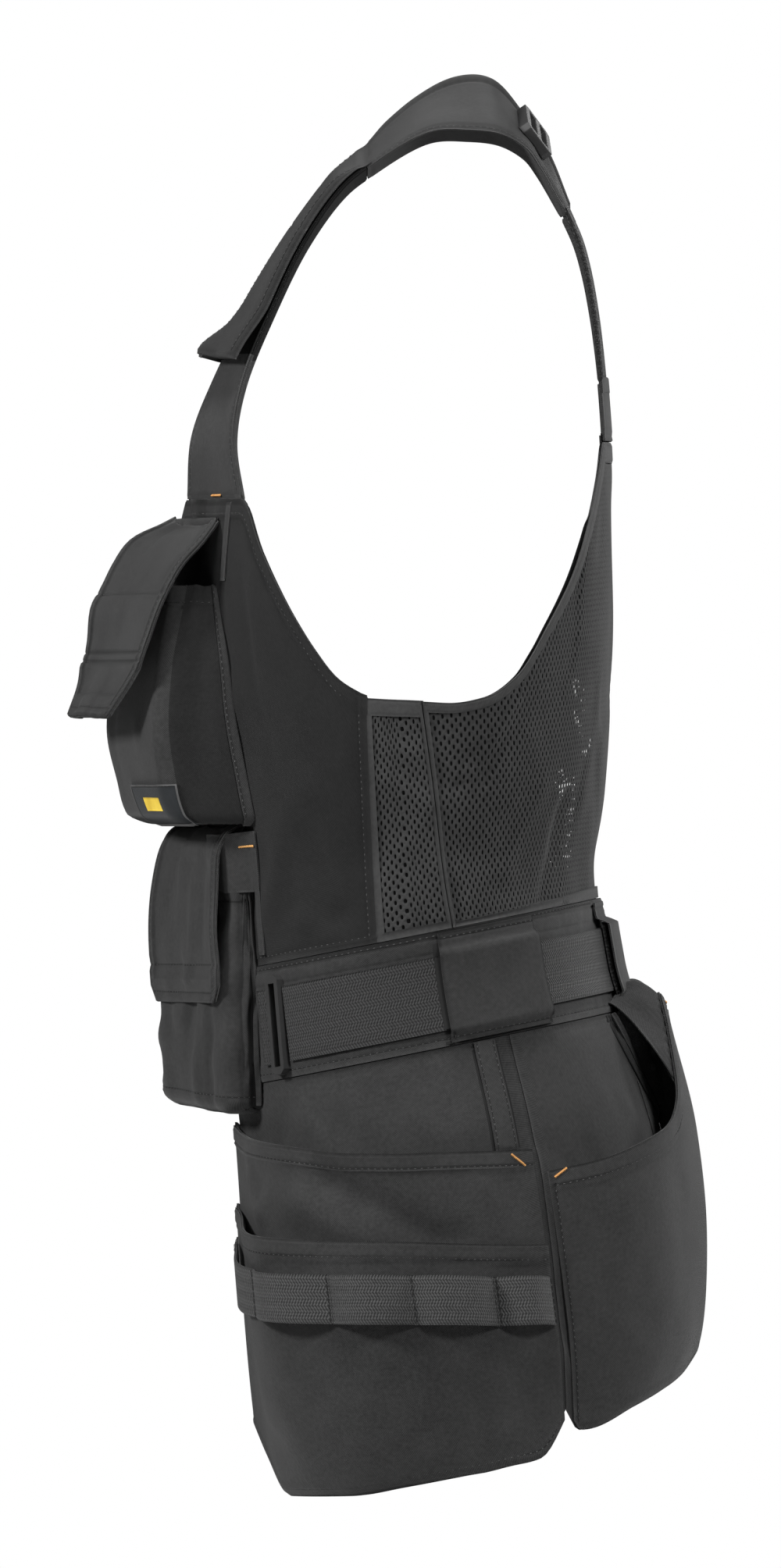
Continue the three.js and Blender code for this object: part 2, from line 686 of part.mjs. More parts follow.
// Pockets that stand on the front panel, in their own frame: across from the centre to the arm
// side, out from the body, and height.
function pocketFrame(z) {
  const [a, b] = [bodyPoint(pocketInner, z), bodyPoint(pocketOuter, z)];
  const across = b.clone().sub(a);
  const width = across.length();
  across.normalize();
  const out = new THREE.Vector3(across.y, -across.x, 0);
  const middle = a.clone().lerp(b, 0.5);
  const place = (u, w, height) =>
    middle.clone().addScaledVector(across, u).addScaledVector(out, w).setZ(height);
  return { width, place };
}
const cornerRadius = 9;
const cornerSteps = 3;

// A pocket's outline seen from above, from its rear inner edge round the front. back is how far
// it reaches behind the frame's plane, and inset moves it inwards.
function bagOutline({ half, depths, back, inset, pleat }) {
  const { centre, arm, reach } = depths;
  const radius = Math.max(cornerRadius - inset, 1);
  const sides = { [-1]: half - inset, 1: half * reach - inset };
  const front = (u) => lerp(centre, arm, (u + half) / (half * (1 + reach))) - inset;
  const folds = pleat ? [0.08, 0.26, 0.44].map((share) => share * Math.min(centre, arm)) : [];
  const wall = (sign) => [
    [sign * sides[sign], -back],
    ...folds.map((w, i) => [sign * (sides[sign] - (i === 1 ? pleat : 0)), w]),
  ];
  const corner = (sign) =>
    Array.from({ length: cornerSteps + 1 }, (_, i) => {
      const turn = ((i / cornerSteps) * Math.PI) / 2;
      const middle = sides[sign] - radius;
      return [
        sign * (middle + radius * Math.cos(turn)),
        front(sign * middle) - radius + radius * Math.sin(turn),
      ];
    });
  return [...wall(-1), ...corner(-1), ...corner(1).reverse(), ...wall(1).reverse()];
}

// An open-topped pocket without a back, whose bottom can be lower on the arm side.
function bag({ frame, rows, depth, mouth, height, tilt = 0, pleat = 0 }) {
  const half = frame.width / 2;
  const reachBack = 14;
  const filled = (inset, back, lift) => {
    const loops = rows.map((row, i) => {
      const low = i === 0 ? lift.bottom : 0;
      const high = i === rows.length - 1 ? lift.top : 0;
      const z = mouth - height * (1 - row.up) + low + high;
      const depths = { centre: row.centre * depth, arm: row.arm * depth, reach: row.reach };
      return bagOutline({ half, depths, back, inset, pleat }).map(([u, w]) =>
        frame.place(u, w, z - tilt * (1 - row.up) * ((u + half) / (2 * half))),
      );
    });
    const flat = bagOutline({ half, depths: { centre: depth, arm: depth, reach: 1 }, back, inset, pleat });
    return loft(loops, flat.map(([u, w]) => new THREE.Vector2(u, w)));
  };
  const outside = filled(0, reachBack, { bottom: 0, top: 0 });
  return cut(outside, filled(cloth, reachBack + 10, { bottom: cloth, top: 2 }));
}

// A flap that bends over a pocket's mouth, with its lower corners cut off.
function flap({ frame, path, top, drop, depth, overhang = 0, chamfer, samples }) {
  const half = frame.width / 2 + overhang;
  const curve = new THREE.CatmullRomCurve3(
    path.map((row) => new THREE.Vector3(row.centre * depth, row.arm * depth, top - row.down * drop)),
  );
  const reach = column(path, "down", "reach");
  const columns = 4;
  const layer = (offset) =>
    spread(0, 1, samples).map((t) => {
      const at = curve.getPoint(t);
      const along = curve.getTangent(t);
      const narrowing = chamfer * clamp((top - at.z - (drop - chamfer)) / chamfer, 0, 1);
      const right = half * reach((top - at.z) / drop) - narrowing;
      return spread(0, 1, columns).map((s) => {
        const out = lerp(at.x, at.y, s);
        const run = lerp(along.x, along.y, s);
        const length = Math.hypot(run, along.z);
        const w = out - (along.z / length) * offset;
        return frame.place(lerp(narrowing - half, right, s), w, at.z + (run / length) * offset);
      });
    });
  return gridSolid(layer(0), layer(flapCloth));
}

const chestMouth = -chestPocketDrop;
const chestBottom = chestMouth - chestPocketHeight;
const chestFrame = pocketFrame(chestMouth - chestPocketHeight / 2);
const lowerFlapTop = chestBottom - lowerFlapGap;
const lowerMouth = lowerFlapTop - lowerPocketFall;
const lowerFrame = pocketFrame(lowerMouth - lowerPocketHeight / 2);
const chestBagSpec = {
  frame: chestFrame, rows: chestBag, depth: chestPocketDepth, mouth: chestMouth, height: chestPocketHeight,
};
const lowerBagSpec = {
  frame: lowerFrame, rows: lowerBag, depth: lowerPocketDepth, mouth: lowerMouth, height: lowerPocketHeight,
  tilt: lowerPocketTilt, pleat: pleatDepth,
};
const chestFlapSpec = {
  frame: chestFrame, path: chestFlapPath, top: chestMouth + chestFlapRise, drop: chestFlapDrop,
  depth: chestPocketDepth, overhang: chestFlapOverhang, chamfer: flapChamfer, samples: 12,
};
const lowerFlapSpec = {
  frame: lowerFrame, path: lowerFlapPath, top: lowerFlapTop, drop: lowerFlapDrop, depth: lowerPocketDepth,
  chamfer: flapChamfer / 3, samples: 9,
};

// A blank woven label that wraps round the chest pocket's lower corner on the arm side.
function label() {
  const half = chestFrame.width / 2;
  const bottom = labelRise / chestPocketHeight;
  const top = bottom + labelHeight / chestPocketHeight;
  const ups = [bottom, ...chestBag.map((row) => row.up).filter((up) => up > bottom && up < top), top];
  const ring = (up, inset) => {
    const z = chestBottom + up * chestPocketHeight;
    const next = chestBag.findIndex((row) => row.up >= up);
    const [low, high] = [chestBag[next - 1], chestBag[next]];
    const share = (name) => THREE.MathUtils.mapLinear(up, low.up, high.up, low[name], high[name]);
    const depths = {
      centre: share("centre") * chestPocketDepth,
      arm: share("arm") * chestPocketDepth,
      reach: share("reach"),
    };
    // From the flat front, round the arm-side corner, to the gusset
    const points = bagOutline({ half, depths, back: 0, inset, pleat: 0 });
    const turn = points.slice(-cornerSteps - 2, -1);
    const [far, near] = [points.at(-cornerSteps - 3), turn[0]];
    const wrap = 12;
    const along = (labelWidth - wrap) / Math.hypot(near[0] - far[0], near[1] - far[1]);
    const start = [lerp(near[0], far[0], along), lerp(near[1], far[1], along)];
    return [start, ...turn].map(([u, w]) => chestFrame.place(u, w, z));
  };
  const face = (inset) => ups.map((up) => ring(up, inset));
  return gridSolid(face(-clearance - 0.2), face(-clearance - 0.2 - labelThickness));
}

// The adjuster on the shoulder piece: a frame with two slots, seated on the cloth.
const buckleAlong = 0.86; // its place along the strap's edges
function strapBuckle() {
  const bar = 4;
  const slot = (buckleLength - 3 * bar) / 2;
  const hole = buckleWidth / 2 - bar;
  const plate = new THREE.Shape();
  const [x, y] = [buckleWidth / 2, buckleLength / 2];
  const round = 3;
  plate.moveTo(-x + round, -y).lineTo(x - round, -y).lineTo(x, -y + round).lineTo(x, y - round);
  plate.lineTo(x - round, y).lineTo(-x + round, y).lineTo(-x, y - round).lineTo(-x, -y + round);
  for (const low of [-slot - bar / 2, bar / 2]) {
    const opening = new THREE.Path();
    opening.moveTo(-hole, low).lineTo(hole, low).lineTo(hole, low + slot).lineTo(-hole, low + slot);
    plate.holes.push(opening);
  }
  const sunk = 2;
  const geometry = new THREE.ExtrudeGeometry(plate, { depth: buckleThickness + sunk, bevelEnabled: false });
  const middle = 0.42; // across the shoulder piece
  const origin = ribbonPoint(frontEdges, buckleAlong, middle, strapCloth - sunk + 0.6);
  const normal = ribbonPoint(frontEdges, buckleAlong, middle, strapCloth + 1).sub(
    ribbonPoint(frontEdges, buckleAlong, middle, strapCloth),
  );
  const across = ribbonPoint(frontEdges, buckleAlong, 1, 0).sub(ribbonPoint(frontEdges, buckleAlong, 0, 0));
  across.addScaledVector(normal, -across.dot(normal)).normalize();
  const place = new THREE.Matrix4().makeBasis(across, normal.clone().cross(across), normal);
  geometry.applyMatrix4(place.setPosition(origin));
  const seat = ribbon(frontEdges, {
    ...yoke,
    inner: () => -10,
    thick: 10 + strapCloth + clearance,
  });
  return cut(solidOf(geometry), seat);
}

// The frame that the belt webbing turns round, beside the lower pocket.
function beltRing() {
  const z = waistLine(0)(ringAngle);
  const bar = 2.6;
  const frame = new THREE.Shape();
  const [x, y] = [ringWidth / 2, ringHeight / 2];
  frame.moveTo(-x + bar, -y).lineTo(x - bar, -y).lineTo(x, -y + bar).lineTo(x, y - bar);
  frame.lineTo(x - bar, y).lineTo(-x + bar, y).lineTo(-x, y - bar).lineTo(-x, -y + bar);
  const hole = new THREE.Path();
  const [hx, hy] = [x - bar, y - bar * 1.6];
  hole.moveTo(-hx, -hy).lineTo(hx, -hy).lineTo(hx, hy).lineTo(-hx, hy);
  frame.holes.push(hole);
  const geometry = new THREE.ExtrudeGeometry(frame, { depth: ringThickness + 2, bevelEnabled: false });
  const normal = bodyPoint(ringAngle, z, 1).sub(bodyPoint(ringAngle, z));
  const onBelt = (angle) => bodyPoint(angle, waistLine(0)(angle));
  const along = onBelt(ringAngle + 1).sub(onBelt(ringAngle - 1));
  along.addScaledVector(normal, -along.dot(normal)).normalize();
  const place = new THREE.Matrix4().makeBasis(along, normal.clone().cross(along), normal);
  geometry.applyMatrix4(place.setPosition(bodyPoint(ringAngle, z, onBand - 2)));
  return cut(solidOf(geometry), seatOf(waistbandSide));
}

// The front zip: two tapes as one strip with a raised row of teeth, and its pull.
const zipTop = outline(frontPanelTop)(0) - 2;
const zipHalf = zipEdge - seamInset;
const zip = {
  angles: [-zipHalf, -zipHalf * 0.55, -zipHalf * 0.4, zipHalf * 0.4, zipHalf * 0.55, zipHalf],
  levels: between(bandBottom, () => zipTop, 8),
  thick: (angle) => cloth + (Math.abs(angle) < zipHalf * 0.5 ? zipTeethRise : 0),
};
function zipPull() {
  const [width, length, thick] = [7, 24, 2];
  const box = new THREE.BoxGeometry(width, thick, length, 1, 1, 1);
  const hole = new THREE.BoxGeometry(width - 4, thick * 3, length / 2);
  hole.translate(0, 0, -length / 8);
  const rest = bodyPoint(0, zipTop - length, cloth + zipTeethRise + clearance);
  const place = new THREE.Matrix4().makeTranslation(0, rest.y - thick / 2 - 0.4, zipTop - length / 2 - 6);
  return cut(solidOf(box.applyMatrix4(place)), solidOf(hole.applyMatrix4(place)), seatOf(zip));
}

// Between three.js geometry and solids
function solidOf(geometry) {
  const position = geometry.getAttribute("position");
  const points = new Map();
  const index = geometry.index ? [...geometry.index.array] : [...Array(position.count).keys()];
  const corners = index.map((i) => {
    const point = new THREE.Vector3().fromBufferAttribute(position, i);
    const key = point.toArray().map((value) => value.toFixed(3)).join();
    if (!points.has(key)) points.set(key, { at: points.size, point });
    return points.get(key).at;
  });
  const triangles = Array.from({ length: corners.length / 3 }, (_, i) => corners.slice(3 * i, 3 * i + 3));
  return solidFrom([...points.values()].map(({ point }) => point), triangles);
}
function geometryOf(solid) {
  const { numProp, vertProperties, triVerts } = solid.getMesh();
  const geometry = new THREE.BufferGeometry();
  const positions = new THREE.InterleavedBuffer(vertProperties, numProp);
  geometry.setAttribute("position", new THREE.InterleavedBufferAttribute(positions, 3, 0));
  geometry.setIndex(new THREE.BufferAttribute(triVerts, 1));
  const flat = geometry.toNonIndexed();
  flat.computeVertexNormals();
  return flat;
}

const paint = (color, roughness, metalness = 0) =>
  new THREE.MeshStandardMaterial({ color, roughness, metalness });
const shell = paint(0x2b2b2c, 0.9);
const reinforced = paint(0x353536, 0.85);
const mesh = paint(0x222223, 0.9);
const webbing = paint(0x39393a, 0.7);
const plastic = paint(0x1c1c1c, 0.45);
const woven = paint(0x23252a, 0.75);
const metal = paint(0x4a4a46, 0.4, 0.6);

const seats = {
  panel: seatOf(frontPanel),
  band: seatOf(waistbandSide),
  hip: seatOf(hipPanelFront),
  holster: seatOf(holsterOuter),
};
// Everything inside the form, to trim pockets where no panel lies behind them
const core = loft(
  spread(-chestSeamDrop, -vestDrop, 16).map((z) =>
    spread(0, 360, 48).slice(0, -1).map((angle) => bodyPoint(angle, z, cloth + clearance)),
  ),
  spread(0, 360, 48).slice(0, -1).map((angle) => new THREE.Vector2(Math.sin(angle * degree), -Math.cos(angle * degree))),
);

// Pieces that come in pairs, made for the wearer's left
const paired = [
  ["front_panel", shell, bodySheet(frontPanel)],
  ["side_mesh", mesh, bodySheet(sideMesh)],
  ["front_strap", reinforced, ribbon(frontEdges, frontStrap)],
  ["shoulder_piece", reinforced, ribbon(frontEdges, yoke)],
  ["strap_pad", reinforced, ribbon(frontEdges, strapPad)],
  ["strap_buckle", plastic, strapBuckle()],
  ["back_strap", webbing, ribbon(backEdges, backStrap)],
  ["chest_pocket", reinforced, cut(bag(chestBagSpec), seats.panel, core)],
  ["chest_flap", reinforced, cut(flap(chestFlapSpec), seats.panel, core)],
  ["lower_pocket", reinforced, cut(bag(lowerBagSpec), seats.panel, seats.band, seats.hip, core)],
  ["lower_flap", reinforced, cut(flap(lowerFlapSpec), seats.panel, core)],
  ["waistband", reinforced, bodySheet(waistbandSide)],
  ["belt_webbing", webbing, bodySheet(beltWebbing)],
  ["belt_tab", webbing, bodySheet(beltTab)],
  ["belt_ring", plastic, beltRing()],
  ["belt_tunnel", reinforced, bodySheet(beltTunnel)],
  ["back_loop", reinforced, bodySheet(backLoop)],
  ["hip_panel_front", reinforced, bodySheet(hipPanelFront)],
  ["hip_panel_back", reinforced, bodySheet(hipPanelBack)],
  ["seam_tape", reinforced, bodySheet(seamTape)],
  ["holster_inner", reinforced, bodySheet(holsterInner)],
  ["holster_outer", reinforced, bodySheet(holsterOuter)],
  ["tool_webbing", webbing, cut(bodySheet(toolWebbing), seats.holster)],
  ["back_holster", reinforced, bodySheet(backHolster)],
];
const single = [
  ["back_mesh", mesh, bodySheet(backMesh)],
  ["back_tab", reinforced, bodySheet(backTab)],
  ["waistband_back", reinforced, bodySheet(waistbandBack)],
  ["belt_elastic", webbing, bodySheet(beltElastic)],
  ["zip", plastic, bodySheet(zip)],
  ["zip_pull", metal, zipPull()],
  ["pocket_label", woven, label()],
];

function named(name, material, solid) {
  const made = new THREE.Mesh(geometryOf(solid), material);
  made.name = name;
  return made;
}
const vest = new THREE.Group();
for (const [side, sign] of [["left", 1], ["right", -1]]) {
  const half = new THREE.Group();
  half.scale.x = sign;
  half.add(...paired.map(([name, material, solid]) => named(`${name}_${side}`, material, solid)));
  vest.add(half);
}
vest.add(...single.map(([name, material, solid]) => named(name, material, solid)));

export default vest;
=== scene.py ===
import math

import bmesh
import bpy
import numpy as np
from mathutils import Matrix, Vector


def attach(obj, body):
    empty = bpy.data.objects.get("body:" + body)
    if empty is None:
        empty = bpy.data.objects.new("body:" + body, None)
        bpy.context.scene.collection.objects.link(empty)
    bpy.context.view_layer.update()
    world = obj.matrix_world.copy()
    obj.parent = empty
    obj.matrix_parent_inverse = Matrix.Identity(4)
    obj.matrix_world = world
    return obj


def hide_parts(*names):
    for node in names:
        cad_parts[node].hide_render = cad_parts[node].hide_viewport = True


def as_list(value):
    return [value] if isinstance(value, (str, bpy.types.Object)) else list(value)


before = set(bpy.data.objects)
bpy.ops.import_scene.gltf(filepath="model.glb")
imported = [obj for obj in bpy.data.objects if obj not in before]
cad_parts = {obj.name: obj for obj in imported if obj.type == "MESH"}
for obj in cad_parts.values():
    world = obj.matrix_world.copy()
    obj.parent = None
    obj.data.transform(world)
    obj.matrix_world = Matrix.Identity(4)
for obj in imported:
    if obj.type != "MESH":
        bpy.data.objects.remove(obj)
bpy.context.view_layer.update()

# A worker's tool vest as worn, in metres with +Z up. The wearer faces -Y and their left is +X.


def table(names, *rows):
    """A table's columns by name."""
    return {name: np.array([row[i] for row in rows], float) for i, name in enumerate(names.split())}


# Overall form
VEST_DROP = 0.727
FRONT_REACH = 0.152
BACK_REACH = 0.112
HIP_HALF = 0.182
SHOULDER_HALF = 0.145
CHEST_SEAM = 0.207
BACK_TAB_DROP = 0.145
BACK_TAB_HEIGHT = 0.031

# Cloth
CLOTH = 0.0018
MESH_CLOTH = 0.0012
BAND_CLOTH = 0.003
STRAP_CLOTH = 0.0024
WEBBING_CLOTH = 0.002
FLAP_CLOTH = 0.0024
GAP = 0.0004

# Waist
BELT_LEVEL = -0.4625
BELT_TILT = 0.2
BELT_WIDTH = 0.04
ELASTIC_WIDTH = 0.035
BAND_ABOVE = 0.033
BAND_BELOW = 0.028

# Angles round the body, in degrees from the front centre towards the wearer's left
ZIP_EDGE = 2
SIDE_FRONT = 84
SIDE_SEAM = 96
SIDE_SLANT = 3
TAB_EDGE = 163
RING_ANGLE = 54
TAB_ANGLE = 47
TUNNEL = (95, 123)
WEBBING_END = 106
ELASTIC_START = 108
LOOP_ANGLE = 163
LOOP_WIDTH = 11
BAND_JOINT = 158
HOLSTER = (26, 108)
HIP_JOINT = 109.5
BACK_HOLSTER = (111, 166)
TAPE_ANGLE = 102.3
TOOL_STITCHES = (27, 52, 70, 84, 95, 107)

TORSO = table(
    "drop front back half mid",
    (0.1, 0.76, 0.53, 0.86, 0.18),
    (0.165, 0.88, 0.605, 0.907, 0.2),
    (0.2, 0.925, 0.638, 0.925, 0.204),
    (0.275, 0.98, 0.667, 0.945, 0.211),
    (0.358, 1, 0.675, 0.956, 0.224),
    (0.426, 0.987, 0.66, 0.945, 0.23),
    (0.495, 0.954, 0.634, 0.901, 0.224),
    (0.55, 0.92, 0.593, 0.862, 0.217),
    (0.619, 0.895, 0.65, 0.857, 0.197),
    (0.674, 0.868, 0.765, 0.885, 0.164),
    (0.743, 0.84, 0.91, 0.929, 0.105),
    (0.825, 0.815, 1.01, 0.973, 0.053),
    (0.908, 0.785, 1.05, 0.995, 0),
    (1.004, 0.73, 1.04, 1, -0.033),
)
SECTION_POWER = 0.8

# Outlines over the body: angle in degrees, drop as a share of VEST_DROP
FRONT_TOP = table(
    "angle drop",
    (0, 0.347), (8, 0.325), (16.5, 0.285), (48, 0.285), (56, 0.321), (66, 0.366), (72.5, 0.394),
    (78, 0.414), (84, 0.426),
)
MESH_TOP = table(
    "angle drop",
    (84, 0.428), (93, 0.43), (99, 0.431), (108, 0.427), (118, 0.411), (129, 0.373), (141, 0.332),
    (152, 0.286), (158, 0.26), (163, 0.2425), (180, 0.2425),
)
INNER_RIM = table(
    "angle drop",
    (26, 0.735), (32, 0.74), (50, 0.746), (62, 0.751), (73, 0.756), (83, 0.757), (92, 0.755),
    (108, 0.752),
)
OUTER_RIM = table(
    "angle drop",
    (26, 0.794), (41, 0.807), (60, 0.815), (72, 0.818), (84, 0.82), (94, 0.821), (108, 0.82),
)
FRONT_HEM = table(
    "angle drop",
    (26, 0.949), (33, 0.974), (42, 1), (63, 0.999), (76, 0.993), (87, 0.986), (95, 0.978),
    (102, 0.972), (109.5, 0.937),
)
BACK_RIM = table(
    "angle drop",
    (111, 0.768), (122, 0.763), (134, 0.752), (146, 0.738), (152, 0.722), (156, 0.698), (159, 0.67),
    (162, 0.653), (166, 0.658),
)
BACK_HEM = table(
    "angle drop",
    (109.5, 0.937), (113, 0.952), (130, 0.936), (149, 0.918), (157, 0.908), (168, 0.895),
)

# The shoulder strap's two edges, from the chest seam to the back of the shoulder piece
STRAP_EDGES = table(
    "neck_x neck_y neck_z arm_x arm_y arm_z",
    (0.366, -0.944, -0.845, 0.785, -0.8, -0.845),
    (0.386, -0.872, -0.705, 0.752, -0.768, -0.705),
    (0.407, -0.745, -0.522, 0.772, -0.67, -0.525),
    (0.421, -0.596, -0.348, 0.841, -0.552, -0.348),
    (0.428, -0.436, -0.19, 0.917, -0.43, -0.222),
    (0.434, -0.346, -0.11, 0.966, -0.347, -0.171),
    (0.455, -0.17, 0.008, 0.986, -0.134, -0.08),
    (0.469, -0.038, 0.059, 1, 0, -0.075),
    (0.48, 0.066, 0.056, 0.993, 0.107, -0.085),
    (0.49, 0.168, -0.027, 0.945, 0.19, -0.118),
    (0.497, 0.25, -0.118, 0.862, 0.24, -0.165),
    (0.5, 0.335, -0.27, 0.83, 0.323, -0.27),
)
STRAP_ROWS = 12
STRAP_JOINT = 6 / STRAP_ROWS
PAD_START = 2.25 / STRAP_ROWS
BACK_STRAP = table(
    "x y z",
    (0.642, 0.458, -0.39), (0.6, 0.515, -0.49), (0.53, 0.555, -0.6), (0.42, 0.59, -0.745),
    (0.31, 0.612, -0.87), (0.2, 0.63, -1),
)
BACK_STRAP_WIDTH = 0.04
BACK_STRAP_LEAN = 0.05


def column(rows, along, value):
    """A curve through two columns of a table that never overshoots its rows."""
    x, y = rows[along], rows[value]
    secant = np.diff(y) / np.diff(x)
    slope = np.empty_like(y)
    slope[0], slope[-1] = secant[0], secant[-1]
    before, after = secant[:-1], secant[1:]
    level = before * after <= 0
    slope[1:-1] = np.where(level, 0, 2 * before * after / np.where(level, 1, before + after))

    def at(place):
        v = np.clip(place, x[0], x[-1])
        i = np.clip(np.searchsorted(x, v, side="right") - 1, 0, len(x) - 2)
        width = x[i + 1] - x[i]
        t = (v - x[i]) / width
        start = (1 + 2 * t) * (1 - t) ** 2 * y[i] + t * (1 - t) ** 2 * width * slope[i]
        return start + t**2 * (3 - 2 * t) * y[i + 1] - t**2 * (1 - t) * width * slope[i + 1]

    return at


def smooth(value, low, high):
    t = np.clip((value - low) / (high - low), 0, 1)
    return t * t * (3 - 2 * t)


def unit(v):
    return v / np.maximum(np.linalg.norm(v, axis=-1, keepdims=True), 1e-12)


SECTION = {name: column(TORSO, "drop", name) for name in ("front", "back", "half", "mid")}


def form_point(angle, z):
    """A point on the worn form, at an angle round it and a height."""
    angle, z = np.broadcast_arrays(np.asarray(angle, float), np.asarray(z, float))
    drop = -z / VEST_DROP
    mid = -SECTION["mid"](drop) * FRONT_REACH
    turn = np.radians(angle)
    cosine = np.cos(turn)
    edge = np.where(cosine > 0, -SECTION["front"](drop) * FRONT_REACH, SECTION["back"](drop) * BACK_REACH)
    y = mid + (edge - mid) * np.abs(cosine) ** SECTION_POWER
    return np.stack([SECTION["half"](drop) * HIP_HALF * np.sin(turn), y, z], -1)


def body_point(angle, z, offset=0.0):
    """The same point moved outwards from the form, square to it."""
    angle, z = np.broadcast_arrays(np.asarray(angle, float), np.asarray(z, float))
    aside, rise = 0.5, 0.001
    around = form_point(angle + aside, z) - form_point(angle - aside, z)
    up = form_point(angle, z + rise) - form_point(angle, z - rise)
    out = unit(np.cross(around, up))
    return form_point(angle, z) + out * np.asarray(offset, float)[..., None]


def waist_line(above):
    """The height at each angle of a line that runs parallel to the belt."""

    def height(angle):
        z = np.full(np.shape(angle), BELT_LEVEL)
        for _ in range(5):
            z = BELT_LEVEL + BELT_TILT * form_point(angle, z)[..., 1] + above
        return z

    return height


def outline(rows):
    """The height at each angle of an outline kept as a table, the same on both sides."""
    drop = column(rows, "angle", "drop")
    return lambda angle: -VEST_DROP * drop(np.minimum(angle, 360 - np.asarray(angle, float)))


def curve(points):
    """A centripetal curve through points, each span taking the same share of the parameter."""
    points = np.asarray(points, float)
    ends = [2 * points[0] - points[1], 2 * points[-1] - points[-2]]
    full = np.vstack([ends[0], points, ends[1]])
    spans = []
    for i in range(len(points) - 1):
        p0, p1, p2, p3 = full[i : i + 4]
        d0, d1, d2 = (np.sqrt(np.linalg.norm(b - a)) for a, b in ((p0, p1), (p1, p2), (p2, p3)))
        t1 = d1 * ((p1 - p0) / d0 - (p2 - p0) / (d0 + d1) + (p2 - p1) / d1)
        t2 = d1 * ((p2 - p1) / d1 - (p3 - p1) / (d1 + d2) + (p3 - p2) / d2)
        spans.append((p1, t1, -3 * p1 + 3 * p2 - 2 * t1 - t2, 2 * p1 - 2 * p2 + t1 + t2))
    spans = np.array(spans)

    def at(t):
        place = np.clip(t, 0, 1) * len(spans)
        i = np.minimum(place.astype(int), len(spans) - 1)
        w = (place - i)[..., None]
        c = spans[i]
        return c[..., 0, :] + w * (c[..., 1, :] + w * (c[..., 2, :] + w * c[..., 3, :]))

    return at


def crumple(u, v, size, seed, waves=9):
    """Soft random folds from -1 to 1 over a cloth, about size long."""
    rng = np.random.default_rng(seed)
    total = np.zeros(np.broadcast(u, v).shape)
    for _ in range(waves):
        turn = rng.uniform(0, math.tau)
        k = math.tau / (size * rng.uniform(0.7, 2.2))
        phase = rng.uniform(0, math.tau)
        total = total + np.sin(k * (np.cos(turn) * u + np.sin(turn) * v) + phase + 0.6 * total)
    return total / (0.7 * waves)


def ridges(u, v, *rows):
    """Long soft folds. Each row is start, end, half width and height."""
    total = np.zeros(np.broadcast(u, v).shape)
    for u0, v0, u1, v1, width, height in rows:
        du, dv = u1 - u0, v1 - v0
        length = math.hypot(du, dv)
        along = ((u - u0) * du + (v - v0) * dv) / length
        across = ((u - u0) * dv - (v - v0) * du) / length
        before, after = 0.5 * width, 1.5 * width
        ends = smooth(along, -before, after) * smooth(-along, -length - before, after - length)
        total = total + height * ends * np.exp(-((across / width) ** 2))
    return total


def stations(start, end, step, marks=(), near=0.0):
    """Evenly spaced values from start to end, with more of them at the marks."""
    count = max(1, round(abs(end - start) / step))
    values = list(np.linspace(start, end, count + 1))
    for mark in marks:
        values += [mark - near, mark, mark + near] if near else [mark]
    low, high = min(start, end), max(start, end)
    values = sorted(v for v in values if low - 1e-12 <= v <= high + 1e-12)
    kept = [values[0]]
    for v in values[1:]:
        if v - kept[-1] > (high - low) * 1e-5:
            kept.append(v)
    return np.array(kept if start < end else kept[::-1])


# Meshes


def collection_object(name, mesh):
    made = bpy.data.objects.new(name, mesh)
    bpy.context.scene.collection.objects.link(made)
    return made


def object_from(name, points, faces, uv=None, smooth_faces=True):
    """An object from an array of points and an array or list of faces."""
    mesh = bpy.data.meshes.new(name)
    points = np.asarray(points, float).reshape(-1, 3)
    sizes = np.array([len(f) for f in faces], dtype=np.int32)
    loops = np.concatenate([np.asarray(f, dtype=np.int32) for f in faces])
    mesh.vertices.add(len(points))
    mesh.vertices.foreach_set("co", points.ravel())
    mesh.loops.add(len(loops))
    mesh.loops.foreach_set("vertex_index", loops)
    mesh.polygons.add(len(sizes))
    mesh.polygons.foreach_set("loop_start", np.concatenate([[0], np.cumsum(sizes)[:-1]]).astype(np.int32))
    mesh.polygons.foreach_set("loop_total", sizes)
    mesh.polygons.foreach_set("use_smooth", np.full(len(sizes), smooth_faces))
    if uv is not None:
        layer = mesh.uv_layers.new(name="Cloth")
        layer.data.foreach_set("uv", np.asarray(uv, float).reshape(-1, 2)[loops].ravel())
    mesh.update(calc_edges=True)
    mesh.validate()
    return collection_object(name, mesh)


def mirrored(name, source):
    """A copy of a piece on the other side of the body."""
    mesh = source.data.copy()
    mesh.name = name
    mesh.transform(Matrix.Diagonal((-1, 1, 1, 1)))
    mesh.flip_normals()
    return collection_object(name, mesh)


def arc_lengths(points):
    """Distances along each row and each column of a grid of points."""
    across = np.linalg.norm(np.diff(points, axis=1), axis=-1)
    along = np.linalg.norm(np.diff(points, axis=0), axis=-1)
    u = np.concatenate([np.zeros((points.shape[0], 1)), np.cumsum(across, 1)], 1)
    v = np.concatenate([np.zeros((1, points.shape[1])), np.cumsum(along, 0)], 0)
    return u - u[:, [u.shape[1] // 2]], v - v[[v.shape[0] // 2], :]


def keep_flat(made, width, length, area):
    """Keeps a sheet's flat size with it."""
    for key, value in zip(FLAT_KEYS, (width, length, min(area, width * length))):
        made[key] = float(value)


FLAT_KEYS = ("flat_width", "flat_length", "flat_area")


